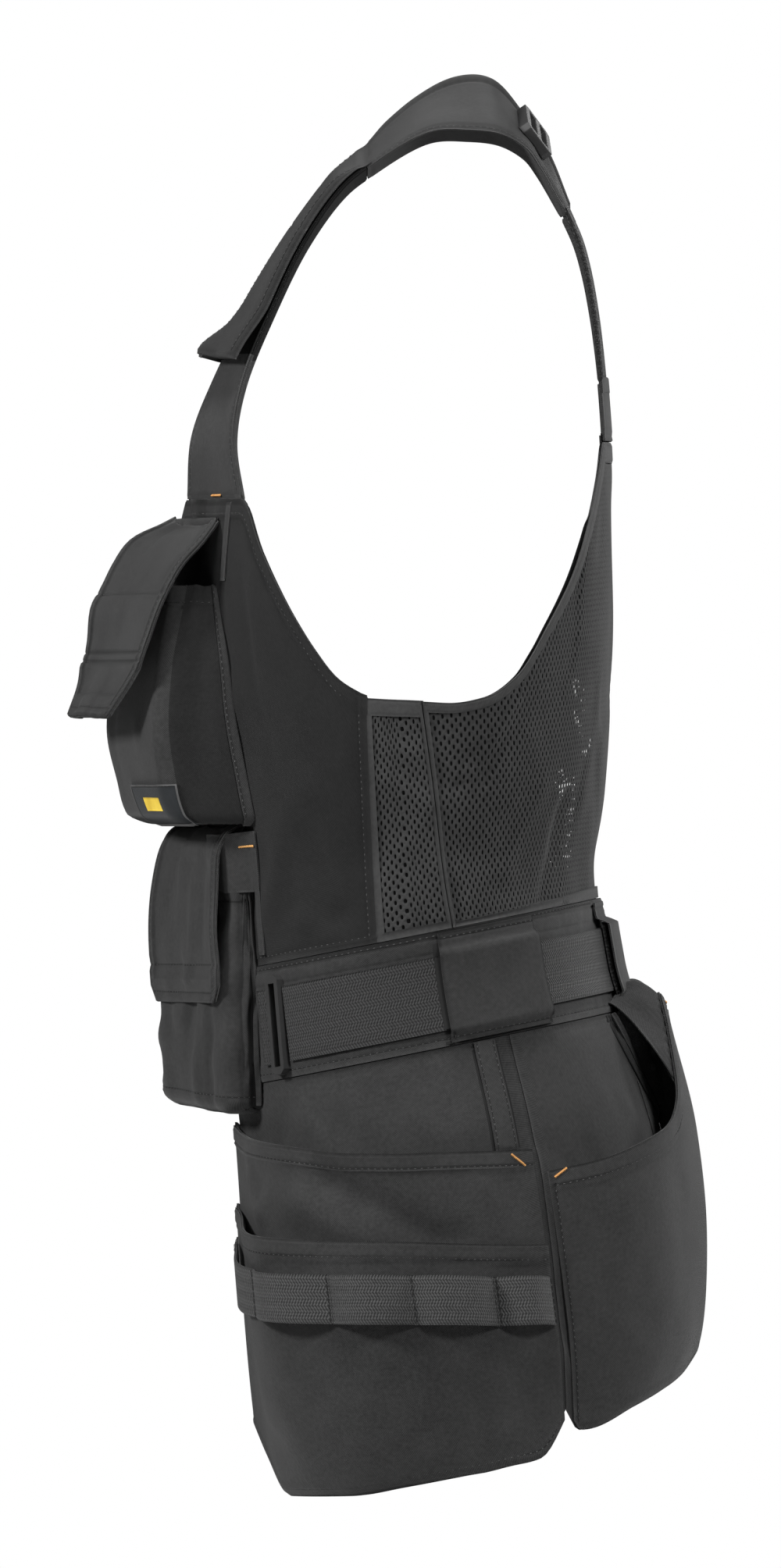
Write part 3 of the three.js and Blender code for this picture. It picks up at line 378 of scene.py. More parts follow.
def sheet_from(name, inner, outer):
    """A sheet of cloth between two grids of points. Its flat size goes with it."""
    rows, columns = inner.shape[:2]
    size = rows * columns
    index = np.arange(size).reshape(rows, columns)

    def quads(a, b, c, d):
        return np.stack([a.ravel(), b.ravel(), c.ravel(), d.ravel()], 1)

    a, b, c, d = index[:-1, :-1], index[:-1, 1:], index[1:, 1:], index[1:, :-1]
    faces = [quads(a + size, b + size, c + size, d + size), quads(a, d, c, b)]
    for edge, turned in ((index[0], False), (index[-1], True), (index[:, 0], True), (index[:, -1], False)):
        p, q = edge[:-1], edge[1:]
        faces.append(quads(q, q + size, p + size, p) if turned else quads(p, p + size, q + size, q))
    faces = np.concatenate(faces)
    points = np.concatenate([inner.reshape(-1, 3), outer.reshape(-1, 3)])
    tri = np.concatenate([faces[:, [0, 1, 2]], faces[:, [0, 2, 3]]])
    volume = np.einsum("ij,ij->i", points[tri[:, 0]], np.cross(points[tri[:, 1]], points[tri[:, 2]])).sum()
    if volume < 0:
        faces = faces[:, ::-1]
    middle = (inner + outer) / 2
    u, v = arc_lengths(middle)
    uv = np.stack([u, v], -1).reshape(-1, 2)
    made = object_from(name, points, faces, np.concatenate([uv, uv]))
    p, q, r, s = middle[:-1, :-1], middle[:-1, 1:], middle[1:, 1:], middle[1:, :-1]
    halves = [np.linalg.norm(np.cross(*sides), axis=-1) for sides in ((q - p, r - p), (r - p, s - p))]
    keep_flat(made, np.ptp(u, axis=1).max(), np.ptp(v, axis=0).max(), (halves[0] + halves[1]).sum() / 2)
    return made


def rounded(inner, outer):
    """Rounds a sheet's edges by pinching its two layers together along the border."""
    middle, half = (inner + outer) / 2, (outer - inner) / 2
    share = np.ones(inner.shape[:2])
    share[0, :] = share[-1, :] = share[:, 0] = share[:, -1] = EDGE_SHARE
    return middle - half * share[..., None], middle + half * share[..., None]


EDGE_SHARE = 0.45  # of a sheet's thickness, at its edges


faces_out = {}  # the outer face of each sheet, for what is sewn on it


def surface_sheet(name, place, u, v, inner, thick):
    """A sheet whose place(u, v, offset) gives a point. inner and thick are functions of u and v."""
    vv, uu = np.meshgrid(v, u, indexing="ij")
    value = lambda f, a, b: f(a, b) if callable(f) else np.full(np.shape(a), float(f))
    low = value(inner, uu, vv)
    high = low + value(thick, uu, vv)
    face = lambda a, b, rise=0.0: place(a, b, value(inner, a, b) + value(thick, a, b) + rise)
    faces_out[name] = face
    return sheet_from(name, *rounded(place(uu, vv, low), place(uu, vv, high)))


seams = {"plain": [], "bright": []}  # stitches for the wearer's left, by thread
painted_shade_lines = []  # near-black ribbons of painted shade along each seam and slit


def sew(name, u, v, stitch=0.0026, gap=0.0009, thick=0.00026):
    """A row of stitches along a line on a sheet's outer face, over a ribbon of painted shade."""
    u, v = np.broadcast_arrays(np.asarray(u, float), np.asarray(v, float))
    line = faces_out[name](u, v, 0.0001)
    out = unit(faces_out[name](u, v, 0.001) - line)
    crease(name, u, v)
    run = np.concatenate([[0], np.cumsum(np.linalg.norm(np.diff(line, axis=0), axis=1))])
    pitch = stitch + gap
    count = int(run[-1] / pitch)
    if count < 1:
        return
    start = np.arange(count) * pitch + gap
    pick = lambda values, s: np.stack([np.interp(s, run, values[:, k]) for k in range(3)], -1)
    a, b = pick(line, start), pick(line, start + stitch)
    up = unit(pick(out, start + stitch / 2))
    side = unit(np.cross(b - a, up))
    middle = (a + b) / 2 + up * thick * 0.4
    ring = [middle + way * thick for way in (side, up, -side, -up)]
    seams["plain"].append(np.stack([a - up * thick, *ring, b - up * thick], 1))


def crease(name, u, v, width=0.0008, rise=0.00012, ends=1.0):
    """A near-black ribbon of painted shade, laid where a seam pulls the cloth in and where a slit opens
    between two layers.
    """
    u, v = np.broadcast_arrays(np.asarray(u, float), np.asarray(v, float))
    line = faces_out[name](u, v, rise)
    out = unit(faces_out[name](u, v, rise + 0.001) - line)
    taper = np.full(len(line), 1.0)
    taper[0] = taper[-1] = ends
    side = unit(np.cross(np.gradient(line, axis=0), out)) * (width / 2 * taper)[:, None]
    painted_shade_lines.append((line - side, line + side))


def painted_shade_object(name):
    points, faces, start = [], [], 0
    for low, high in painted_shade_lines:
        n = len(low)
        points += [low, high]
        k = np.arange(n - 1) + start
        faces.append(np.stack([k, k + 1, k + 1 + n, k + n], 1))
        start += 2 * n
    return object_from(name, np.concatenate(points), np.concatenate(faces))


def thread_object(name, kind):
    """One object from all rows of stitches of a kind."""
    points = np.concatenate(seams[kind])
    ring = ((1, 2), (2, 3), (3, 4), (4, 1))
    shape = [(0, a, b) for a, b in ring] + [(5, b, a) for a, b in ring]
    index = np.arange(len(points))[:, None, None] * 6 + np.array(shape)[None]
    return object_from(name, points.reshape(-1, 3), index.reshape(-1, 3))


def from_foot(place, u, distance):
    """The share of a body sheet's height at a distance over its foot line."""
    return distance / distances(place, u, np.zeros(np.shape(u)))[1]


def from_top(place, u, distance):
    return 1 - from_foot(place, u, distance)


# Body sheets: u is the angle, v runs from 0 at the bottom line to 1 at the top line


def between(bottom, top, warp=None):
    """Turns a share of the way from one line to another into a point on the body."""

    def place(angle, share, offset):
        angle = warp(angle, share) if warp else angle
        low, high = bottom(angle), top(angle)
        return body_point(angle, low + (high - low) * share, offset)

    return place


def distances(place, angle, share):
    """Distances in metres from a body sheet's bottom and top lines."""
    low, high = (place(angle, np.full_like(share, end), 0.0)[..., 2] for end in (0, 1))
    height = high - low
    return height * share, height * (1 - share)


def hem(d, width, rise=0.0009, groove=0.0005, stitch=0.0015):
    """Extra thickness of a folded hem, at a distance from its edge, with its stitched groove."""
    fold = rise * (1 - smooth(d, width - 0.0004, width + 0.0006))
    return fold - groove * np.exp(-(((d - width + stitch) / 0.0007) ** 2))


def groove(d, depth=0.0005, width=0.0007):
    return -depth * np.exp(-((d / width) ** 2))


# Materials


class Nodes:
    """Short calls that add nodes to a material."""

    def __init__(self, name):
        self.material = bpy.data.materials.new(name)
        self.material.use_nodes = True
        self.tree = self.material.node_tree
        self.shader = self.tree.nodes["Principled BSDF"]

    def add(self, kind, links=None, **settings):
        node = self.tree.nodes.new(kind)
        for key, value in settings.items():
            if hasattr(node, key):
                setattr(node, key, value)
            else:
                node.inputs[key.replace("_", " ").capitalize()].default_value = value
        for socket, source in (links or {}).items():
            self.tree.links.new(source, node.inputs[socket])
        return node

    def math(self, operation, a, b=None):
        node = self.tree.nodes.new("ShaderNodeMath")
        node.operation = operation
        for socket, value in zip(node.inputs, (a, b)):
            if value is None:
                continue
            if hasattr(value, "links"):
                self.tree.links.new(value, socket)
            else:
                socket.default_value = value
        return node.outputs[0]

    def mix(self, factor, a, b):
        node = self.tree.nodes.new("ShaderNodeMix")
        node.data_type = "RGBA"
        for socket, value in ((node.inputs[0], factor), (node.inputs[6], a), (node.inputs[7], b)):
            if hasattr(value, "links"):
                self.tree.links.new(value, socket)
            elif isinstance(value, (int, float)):
                socket.default_value = value
            else:
                socket.default_value = (*value, 1)
        return node.outputs[2]

    def ramp(self, source, low, high):
        node = self.add("ShaderNodeMapRange", {0: source})
        node.inputs[1].default_value = low
        node.inputs[2].default_value = high
        return node.outputs[0]

    def times(self, source, factor):
        return self.math("MULTIPLY", source, factor)

    def wave(self, source, length):
        return self.math("SINE", self.times(source, math.tau / length))

    def flat_place(self):
        """The place on the flat cloth in metres, and its two coordinates."""
        place = self.add("ShaderNodeUVMap", uv_map="Cloth").outputs[0]
        split = self.add("ShaderNodeSeparateXYZ", {0: place})
        return place, split.outputs[0], split.outputs[1]

    def noise(self, place, scale, detail):
        node = self.add("ShaderNodeTexNoise", {"Vector": place})
        node.inputs["Scale"].default_value = scale
        node.inputs["Detail"].default_value = detail
        return node.outputs[0]

    def finish(self, tone, dark, light, height, bump, depth, **settings):
        """Colours the shader by a tone, gives it a relief and sets its own values."""
        self.tree.links.new(self.mix(tone, dark, light), self.shader.inputs["Base Color"])
        relief = self.add("ShaderNodeBump", {"Height": height})
        relief.inputs["Strength"].default_value = bump
        relief.inputs["Distance"].default_value = depth
        self.tree.links.new(relief.outputs[0], self.shader.inputs["Normal"])
        for name, value in settings.items():
            self.shader.inputs[name.replace("_", " ")].default_value = value
        return self.material


def grey(value, warm=0.0):
    return (value * (1 + warm), value, value * (1 - warm))


def cloth_material(name, dark, light, yarn=0.0011, bump=0.35, sheen=0.08):
    """Woven nylon: warp and weft yarns, slight slubs, patches of wear and a soft sheen."""
    n = Nodes(name)
    place, u, v = n.flat_place()
    weave = n.math("MULTIPLY", n.wave(u, yarn), n.wave(v, yarn))
    slubs = n.noise(place, 420, 3)
    solid = n.add("ShaderNodeTexCoord").outputs["Object"]
    tone = n.math("ADD", n.times(weave, 0.22), n.times(slubs, 0.5))
    for scale, detail, strength in ((14, 6, 0.5), (70, 4, 0.25)):
        patches = n.math("SUBTRACT", n.noise(solid, scale, detail), 0.5)
        tone = n.math("ADD", tone, n.times(patches, strength))
    height = n.math("ADD", n.times(weave, 0.5), n.times(slubs, 0.7))
    gloss = {"Roughness": 0.92, "Specular_IOR_Level": 0.18, "Sheen_Weight": sheen, "Sheen_Roughness": 0.5}
    return n.finish(n.ramp(tone, -0.1, 0.75), dark, light, height, bump, 0.0004, **gloss)


def webbing_material(name, dark, light):
    """Woven webbing: a zigzag of fine diagonal ribs."""
    n = Nodes(name)
    place, u, v = n.flat_place()
    zigzag = n.math("ADD", u, n.times(n.math("PINGPONG", v, 0.0035), 0.5))
    ribs = n.wave(zigzag, 0.0016)
    rows = n.wave(v, 0.00175)
    tone = n.math("ADD", n.times(ribs, 0.3), n.times(rows, 0.12))
    tone = n.math("ADD", tone, n.times(n.noise(place, 500, 2), 0.5))
    height = n.math("ADD", ribs, n.times(rows, 0.4))
    gloss = {"Roughness": 0.75, "Specular_IOR_Level": 0.25, "Sheen_Weight": 0.06}
    return n.finish(n.ramp(tone, -0.1, 0.65), dark, light, height, 0.8, 0.00025, **gloss)


def plain_material(name, dark, light, rough=0.5, metal=0.0):
    """Moulded plastic, thread or metal with a fine grain and slight colour changes."""
    n = Nodes(name)
    solid = n.add("ShaderNodeTexCoord").outputs["Object"]
    tone = n.ramp(n.noise(solid, 65, 5), 0.3, 0.7)
    grain = n.noise(solid, 2080, 2)
    return n.finish(tone, dark, light, grain, 0.15, 0.0002, Roughness=rough, Metallic=metal)


MATERIALS = {
    "shell_fabric": cloth_material("shell_cloth", grey(0.004), grey(0.018), yarn=0.0009),
    "reinforced_fabric": cloth_material("coarse_nylon", grey(0.008), grey(0.046)),
    "mesh_fabric": cloth_material("mesh_yarn", grey(0.016), grey(0.064), yarn=0.0007, bump=0.2),
    "webbing": webbing_material("woven_webbing", grey(0.006), grey(0.036)),
    "plastic": plain_material("moulded_plastic", grey(0.01), grey(0.016), rough=0.55),
    "label_fabric": cloth_material("label_weave", grey(0.012, -0.1), grey(0.024, -0.1), yarn=0.0006),
    "zip_metal": plain_material("zip_metal", grey(0.2), grey(0.3), rough=0.35, metal=0.8),
}
# Webbing darkened as painted shade, for the back straps, their laps and the back loop's filling.
dark_webbing = webbing_material("dark_webbing", grey(0.004), grey(0.014))
# A lighter copy of the webbing for the tool loops: painted light.
loop_webbing = webbing_material("loop_webbing", grey(0.011), grey(0.062))
strap_cloth = cloth_material("strap_cloth", grey(0.006), grey(0.033))
pad_cloth = cloth_material("pad_cloth", grey(0.004), grey(0.024), yarn=0.001)
flap_cloth = cloth_material("flap_cloth", grey(0.006), grey(0.033))
# A darker copy of the cloth: painted shade on the pockets' gussets and on the seam backings.
gusset_cloth = cloth_material("gusset_cloth", grey(0.004), grey(0.02), yarn=0.001)
# The near-black colour of the painted shade ribbons.
painted_shade_dark = plain_material("crease", grey(0.0015), grey(0.004), rough=0.95)
# Near-black cloth of painted shade, under the strap pad and behind the open mesh.
painted_shade_black = cloth_material("mesh_lining", grey(0.002), grey(0.005), yarn=0.0008, bump=0.1, sheen=0.0)
thread = plain_material("thread", grey(0.03), grey(0.07), rough=0.8)
bright_thread = plain_material("bar_tack_thread", (0.5, 0.2, 0.05), (0.75, 0.42, 0.14), rough=0.7)


def finish_piece(made, slot, nodes=(), material=None, held=None, rests_on=()):
    made.data.materials.append(material or MATERIALS[slot])
    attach(made, "root")
    if nodes:
        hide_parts(*nodes)
    if held:
        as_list(rests_on)


def recloth(made, chosen):
    """Marks the faces of a piece that its second material covers, by a function of their centres."""
    mesh = made.data
    centres = np.empty(len(mesh.polygons) * 3)
    mesh.polygons.foreach_get("center", centres)
    mesh.polygons.foreach_set("material_index", chosen(centres.reshape(-1, 3)).astype(np.int32))


def second(pieces, material):
    for piece in pieces:
        piece.data.materials.append(material)


def pair(made, node=None, held=None, rests_on=(), slot="reinforced_fabric", material=None):
    """Finishes a left piece, which may stand for a node, and its mirror image on the right."""
    other = mirrored(made.name.replace("_left", "_right"), made)
    for key in FLAT_KEYS:
        if key in made:
            other[key] = made[key]
    for piece, side in ((made, "left"), (other, "right")):
        names = [f"{node}_{side}"] if node else []
        under = [name.replace("SIDE", side) for name in rests_on]
        finish_piece(piece, slot, names, material, held, under)
    return made, other


def both(name, place, u, v, inner, thick, *rest, **named):
    """A sheet on the wearer's left and its mirror image on the right."""
    return pair(surface_sheet(f"{name}_left", place, u, v, inner, thick), *rest, **named)


def one(name, place, u, v, inner, thick, slot, *rest, **named):
    """A sheet across the middle of the body, or on one side alone."""
    finish_piece(surface_sheet(name, place, u, v, inner, thick), slot, *rest, **named)


SEAM = 0.11
FINE = 1.2  # degrees between columns
band_top, band_bottom = waist_line(BAND_ABOVE), waist_line(-BAND_BELOW)
panel_foot = lambda angle: band_top(angle) + GAP
hip_top = lambda angle: band_bottom(angle) - GAP
shares = lambda step, marks=(), near=0.0: stations(0, 1, step, marks, near)


def arc(angle):
    """Rough distance in metres round the body to an angle."""
    return np.radians(angle) * 0.15


# Front panels
front_panel = between(panel_foot, outline(FRONT_TOP))


def front_wrinkles(angle, share):
    u, v = arc(angle), share * 0.2
    soft = 0.0018 * crumple(u, v, 0.06, 3)
    edge = smooth(share, 0, 0.15) * smooth(-angle, -SIDE_FRONT, 8 - SIDE_FRONT)
    return soft * edge + edge * ridges(
        u, v,
        (arc(50), 0.01, arc(60), 0.06, 0.008, 0.002),
        (arc(56), 0.05, arc(74), 0.12, 0.01, 0.0018),
        (arc(62), 0.0, arc(80), 0.03, 0.007, -0.0012),
    )


def front_thick(angle, share):
    below, above = distances(front_panel, angle, share)
    return CLOTH + hem(above, 0.009) + groove(below - 0.004) + groove((SIDE_FRONT - angle) * 0.0028 - 0.004)


both(
    "front_panel_cloth", front_panel,
    stations(ZIP_EDGE + SEAM, SIDE_FRONT + 0.4, FINE, (SIDE_FRONT - 1.4, ZIP_EDGE + 0.4), 0.25),
    shares(0.016, (0.02, 0.958, 0.967), 0.004), front_wrinkles, front_thick,
    "front_panel", "hung", ["front_strap_SIDE", "waistband_SIDE"], "shell_fabric",
)

# Waistband
band_side = between(band_bottom, band_top)


def band_thick(angle, share):
    below, above = distances(band_side, angle, share)
    edges = groove(below - 0.0035) + groove(above - 0.0035) + groove(above - 0.011, 0.0003)
    return BAND_CLOTH + edges + 0.00025 * crumple(arc(angle), share * 0.06, 0.012, 5)


band_rows = shares(0.04, (0.058, 0.82, 0.942), 0.012)
ON_BANDS = ["waistband_left", "waistband_right"]
both(
    "waistband_cloth", band_side, stations(ZIP_EDGE + SEAM, BAND_JOINT - SEAM, 1.0), band_rows,
    0, band_thick,
    "waistband", "stretched", ["front_panel_SIDE"],
)
one(
    "waistband_cloth_back", band_side, stations(BAND_JOINT + SEAM, 360 - BAND_JOINT - SEAM, 1.0), band_rows,
    0, band_thick, "reinforced_fabric", ["waistband_back"], None, "stretched", ON_BANDS,
)

# Belt
ON_BAND = BAND_CLOTH + GAP


def belt(start, end, width, inner):
    """The place, columns, rows, inner face and thickness of a length of webbing on the band."""
    place = between(waist_line(-width / 2), waist_line(width / 2))
    return place, stations(start, end, 1.0), shares(0.1, (0.04, 0.96)), inner, WEBBING_CLOTH


ON_WAIST = ["waistband_SIDE"]
front_belt = belt(RING_ANGLE + 3, WEBBING_END, BELT_WIDTH, ON_BAND)
both("belt_web", *front_belt, "belt_webbing", "stretched", ON_WAIST, "webbing")
both("belt_tab_web", *belt(TAB_ANGLE, RING_ANGLE - 3, BELT_WIDTH, ON_BAND), "belt_tab", slot="webbing")
elastic = belt(ELASTIC_START, 360 - ELASTIC_START, ELASTIC_WIDTH, ON_BAND + 0.0002)
one("belt_elastic_web", *elastic, "webbing", ["belt_elastic"], None, "stretched", ON_BANDS)


def bridge(start, end, width, edge, slack):
    """The same for a strip over the belt, stitched down above and below it."""
    rise = ON_BAND + WEBBING_CLOTH + GAP + slack
    foot = (width / 2 + BAND_BELOW) / 2
    bottom, top, middle = waist_line(-BAND_BELOW + edge), waist_line(BAND_ABOVE - edge), waist_line(0)
    place = between(bottom, top)

    def inner(angle, share):
        z = bottom(angle) + (top(angle) - bottom(angle)) * share
        off = np.abs(z - middle(angle))
        return rise + (ON_BAND - rise) * smooth(off, width / 2 + 0.001, foot)

    def thick(angle, share):
        below, above = distances(place, angle, share)
        return CLOTH + groove(below - 0.003) + groove(above - 0.003)

    return place, stations(start, end, 1.0), shares(0.03, (0.05, 0.95), 0.012), inner, thick


tunnel = bridge(*TUNNEL, BELT_WIDTH, 0.001, 0.0012)
both("belt_tunnel_cloth", *tunnel, "belt_tunnel", "stretched", ON_WAIST)
half_loop = LOOP_WIDTH / 2
loop = bridge(LOOP_ANGLE - half_loop, LOOP_ANGLE + half_loop, ELASTIC_WIDTH, 0.0015, 0.004)
both("back_loop_cloth", *loop, "back_loop", "stretched", ON_WAIST)

# Hip panels
hip_front = between(outline(FRONT_HEM), hip_top)
hip_back = between(outline(BACK_HEM), hip_top)


def hip_folds(angle, share):
    gathers = ridges(arc(angle), share * 0.18, (arc(156), 0.175, arc(166), 0.12, 0.006, 0.004))
    soft = 0.0018 * crumple(arc(angle), share * 0.2, 0.055, 11) * smooth(share, 0, 0.2)
    return gathers + soft * smooth(-share, -1, -0.85)


def hip_thick(place):
    return lambda angle, share: CLOTH + groove(distances(place, angle, share)[1] - 0.004)


for kind, place, start, end in (
    ("front", hip_front, HOLSTER[0], HIP_JOINT - SEAM),
    ("back", hip_back, HIP_JOINT + SEAM, BACK_HOLSTER[1] + 2),
):
    both(
        f"hip_{kind}_cloth", place, stations(start, end, FINE), shares(0.02, (0.02, 0.98), 0.006),
        hip_folds, hip_thick(place), f"hip_panel_{kind}", "hung", ON_WAIST,
    )

# Holsters
LAYER = CLOTH + GAP
HOLSTER_DEPTH = 0.014
TOOL_ROOM = 0.013
BACK_DEPTH = 0.023
front_hem, inner_rim, outer_rim = outline(FRONT_HEM), outline(INNER_RIM), outline(OUTER_RIM)
back_hem, back_rim = outline(BACK_HEM), outline(BACK_RIM)


def front_full(angle, z):
    """How full the front holster stands, from 0 at its side and bottom seams to 1 inside."""
    front, rear = HOLSTER
    side = smooth(angle, front, front + 32) * smooth(-angle, -rear, 32 - rear)
    return side * np.sqrt(np.clip((z - front_hem(angle)) / 0.09, 0, 1))


pocket_rows = shares(0.014, (0.945, 0.95, 0.955, 0.96, 0.985), 0.003)


def holster(rim, depth, layer, folds):
    """The place, columns, rows, inner face and thickness of a front holster."""
    place = between(front_hem, rim)

    def inner(angle, share):
        z = front_hem(angle) + (rim(angle) - front_hem(angle)) * share
        return layer * LAYER + depth * front_full(angle, z) + folds(angle, z)

    def thick(angle, share):
        below, above = distances(place, angle, share)
        return CLOTH + hem(above, 0.0095) + 0.3 * groove(above - 0.0035) + hem(below, 0.006, 0.0005)

    return place, stations(*HOLSTER, FINE, (HOLSTER[0] + 0.4, HOLSTER[1] - 0.4)), pocket_rows, inner, thick


def inner_folds(angle, z):
    u = arc(angle)
    soft = 0.0012 * crumple(u, z, 0.06, 21) * front_full(angle, z)
    return soft + ridges(
        u, z,
        (arc(64), -0.558, arc(92), -0.6, 0.009, -0.0042),
        (arc(58), -0.566, arc(80), -0.6, 0.012, 0.0034),
        (arc(36), -0.548, arc(46), -0.588, 0.008, 0.003),
        (arc(95), -0.56, arc(101), -0.59, 0.006, 0.0016),
    ) * smooth(front_full(angle, z), 0.1, 0.5)


def outer_folds(angle, z):
    return 0.002 * crumple(arc(angle), z, 0.08, 23) * front_full(angle, z)


inner_holster = holster(inner_rim, HOLSTER_DEPTH, 1, inner_folds)
outer_holster = holster(outer_rim, HOLSTER_DEPTH + TOOL_ROOM, 2, outer_folds)
both("holster_inner_cloth", *inner_holster, "holster_inner", "hung", ["hip_panel_front_SIDE"])
both("holster_outer_cloth", *outer_holster, "holster_outer", "hung", ["holster_inner_SIDE"])


def back_full(angle, z):
    gusset = smooth(-angle, -BACK_HOLSTER[1], 4 - BACK_HOLSTER[1])
    side = np.sin(np.clip((angle - BACK_HOLSTER[0]) / 30, 0, 1) * math.pi / 2)
    return gusset * side * np.sqrt(np.clip((z - back_hem(angle)) / 0.17, 0, 1))


back_pocket = between(back_hem, back_rim)


def back_inner(angle, share):
    z = back_hem(angle) + (back_rim(angle) - back_hem(angle)) * share
    full = back_full(angle, z)
    return LAYER + BACK_DEPTH * full + 0.001 * crumple(arc(angle), z, 0.07, 31) * full


def back_thick(angle, share):
    below, above = distances(back_pocket, angle, share)
    return CLOTH + hem(above, 0.0095) + hem(below, 0.006, 0.0005)


both(
    "back_holster_cloth", back_pocket,
    np.concatenate([stations(BACK_HOLSTER[0], 150, FINE)[:-1], stations(150, BACK_HOLSTER[1], 0.5)]),
    pocket_rows, back_inner, back_thick, "back_holster", "hung", ["hip_panel_back_SIDE"],
)

# Seam allowance between the back holster's rear edge and the hip panel
allowance = between(back_hem, lambda angle: back_rim(angle) + 0.004)
both(
    "back_seam_allowance", allowance, stations(158, BACK_HOLSTER[1] + 2, 0.5), shares(0.02),
    CLOTH - 0.0006, LAYER - CLOTH + 0.0009,
)

# Tool webbing on the outer holster
TOOL_WIDTH = 0.025
TOOL_FALL = 0.017
TOOL_RISE = 0.0095
tool_top = lambda angle: outer_rim(angle) - TOOL_FALL
tool_place = between(lambda angle: tool_top(angle) - TOOL_WIDTH, tool_top)


def loop_wave(angle):
    """The webbing's slack between the stitches that hold it down."""
    wave = np.zeros(np.shape(angle))
    for start, end in zip(TOOL_STITCHES, TOOL_STITCHES[1:]):
        inside = (angle >= start) & (angle <= end)
        rise = TOOL_RISE * (0.35 if start == TOOL_STITCHES[0] else 1)
        turn = np.clip((angle - start) / (end - start), 0, 1) * math.pi
        wave = np.where(inside, rise * np.sin(turn), wave)
    return wave


def tool_inner(angle, share):
    z = tool_top(angle) - TOOL_WIDTH * (1 - share)
    full = front_full(angle, z)
    return 2 * LAYER + (HOLSTER_DEPTH + TOOL_ROOM) * full + LAYER + 0.0004 + loop_wave(angle)


# The tool loops take the lighter copy of the webbing: painted light.
both(
    "tool_web", tool_place, stations(TOOL_STITCHES[0], TOOL_STITCHES[-1], 0.7), shares(0.1, (0.03, 0.97)),
    tool_inner, WEBBING_CLOTH, "tool_webbing", "gathered", ["holster_outer_SIDE"], "webbing", loop_webbing,
)

# Seam tape
half_tape = math.degrees(0.005 / (HIP_HALF * 0.6))
tape_place = between(lambda angle: inner_rim(angle) + GAP, lambda angle: hip_top(angle) - GAP)


def tape_thick(angle, share):
    off = np.abs(angle - TAPE_ANGLE) / half_tape
    return CLOTH + groove((1 - off) * 0.005 - 0.0012, 0.0004, 0.0004)


both(
    "seam_tape_cloth", tape_place, stations(TAPE_ANGLE - half_tape, TAPE_ANGLE + half_tape, 0.2),
    shares(0.05, (0.01, 0.99)), LAYER, tape_thick, "seam_tape", "stretched", ["hip_panel_front_SIDE"],
)


# Shoulder straps
def strap_edge(edge, foot_angle):
    foot = body_point(foot_angle, -CHEST_SEAM + GAP)
    scale = (SHOULDER_HALF, FRONT_REACH, CHEST_SEAM)
    rows = np.stack([STRAP_EDGES[f"{edge}_{axis}"] * size for axis, size in zip("xyz", scale)], -1)
    return curve(np.vstack([foot, rows]))


front_edges = (strap_edge("neck", 16.5), strap_edge("arm", 48))


def back_edge(side):
    half = BACK_STRAP_WIDTH / 2
    x = BACK_STRAP["x"] * SHOULDER_HALF + side * half
    y = BACK_STRAP["y"] * BACK_REACH - (side + 1) * half * BACK_STRAP_LEAN
    return curve(np.stack([x, y, BACK_STRAP["z"] * BACK_TAB_DROP], -1))


back_edges = (back_edge(-1), back_edge(1))


def ribbon(edges):
    """Places a point over the ribbon between two edge curves: u across, v along."""
    neck, arm = edges
    at = lambda t, s: neck(t) * (1 - s[..., None]) + arm(t) * s[..., None]

    def place(across, along, offset):
        nudge = 0.01
        forward = at(np.clip(along + nudge, 0, 1), across) - at(np.clip(along - nudge, 0, 1), across)
        sideways = arm(along) - neck(along)
        out = unit(np.cross(forward, sideways))
        return at(along, across) - out * np.asarray(offset, float)[..., None]

    return place


on_strap = ribbon(front_edges)
on_back_strap = ribbon(back_edges)
joint_gap = GAP / (CHEST_SEAM * 2)
across = stations(0, 1, 0.05, (0.012, 0.06, 0.94, 0.988))
STRAP_WIDTH = 0.06


def strap_thick(s, t):
    return STRAP_CLOTH + groove(s * STRAP_WIDTH - 0.003) + groove((1 - s) * STRAP_WIDTH - 0.003)


made = surface_sheet(
    "front_strap_cloth_left", on_strap, across, stations(0, STRAP_JOINT - joint_gap, 0.006), 0, strap_thick
)
pad_foot = float(on_strap(np.full(1, 0.5), np.full(1, PAD_START + 0.01), 0.0)[0, 2])
# The strap's part under the pad takes the near-black cloth: painted shade from the pad.
recloth(made, lambda at: at[:, 2] > pad_foot)
second(pair(made, "front_strap", "stretched", ["shoulder_piece_SIDE"]), painted_shade_black)
YOKE_WIDTH = 0.085


def yoke_inner(s, t):
    return 0.0006 * crumple(s * 0.08, t * 0.4, 0.05, 41) * smooth(s, 0, 0.2) * smooth(-s, -1, -0.8)


def yoke_thick(s, t):
    neck, arm = s * YOKE_WIDTH, (1 - s) * YOKE_WIDTH
    binding = 0.0016 * np.exp(-(((neck - 0.005) / 0.0045) ** 2)) * smooth(t, STRAP_JOINT, STRAP_JOINT + 0.04)
    cloth = STRAP_CLOTH * (0.45 + 0.55 * smooth(1 - s, 0, 0.06))
    return cloth + binding + groove(neck - 0.0105, 0.0009) + groove(arm - 0.003)


both(
    "shoulder_cloth", on_strap, stations(0, 1, 0.035, (0.01, 0.03, 0.09, 0.105, 0.12, 0.135, 0.97, 0.99)),
    stations(STRAP_JOINT + joint_gap, 1, 0.007), yoke_inner, yoke_thick,
    "shoulder_piece", "stretched", ["front_strap_SIDE"], material=strap_cloth,
)
# The back straps take the darkened webbing: painted shade.
both(
    "back_strap_web", on_back_strap, stations(0, 1, 0.05, (0.01, 0.99)),
    stations(2 * GAP / BACK_TAB_DROP, 1 - 3 * GAP / BACK_TAB_DROP, 0.02), 0, STRAP_CLOTH,
    "back_strap", "stretched", ["shoulder_piece_SIDE"], "webbing", dark_webbing,
)


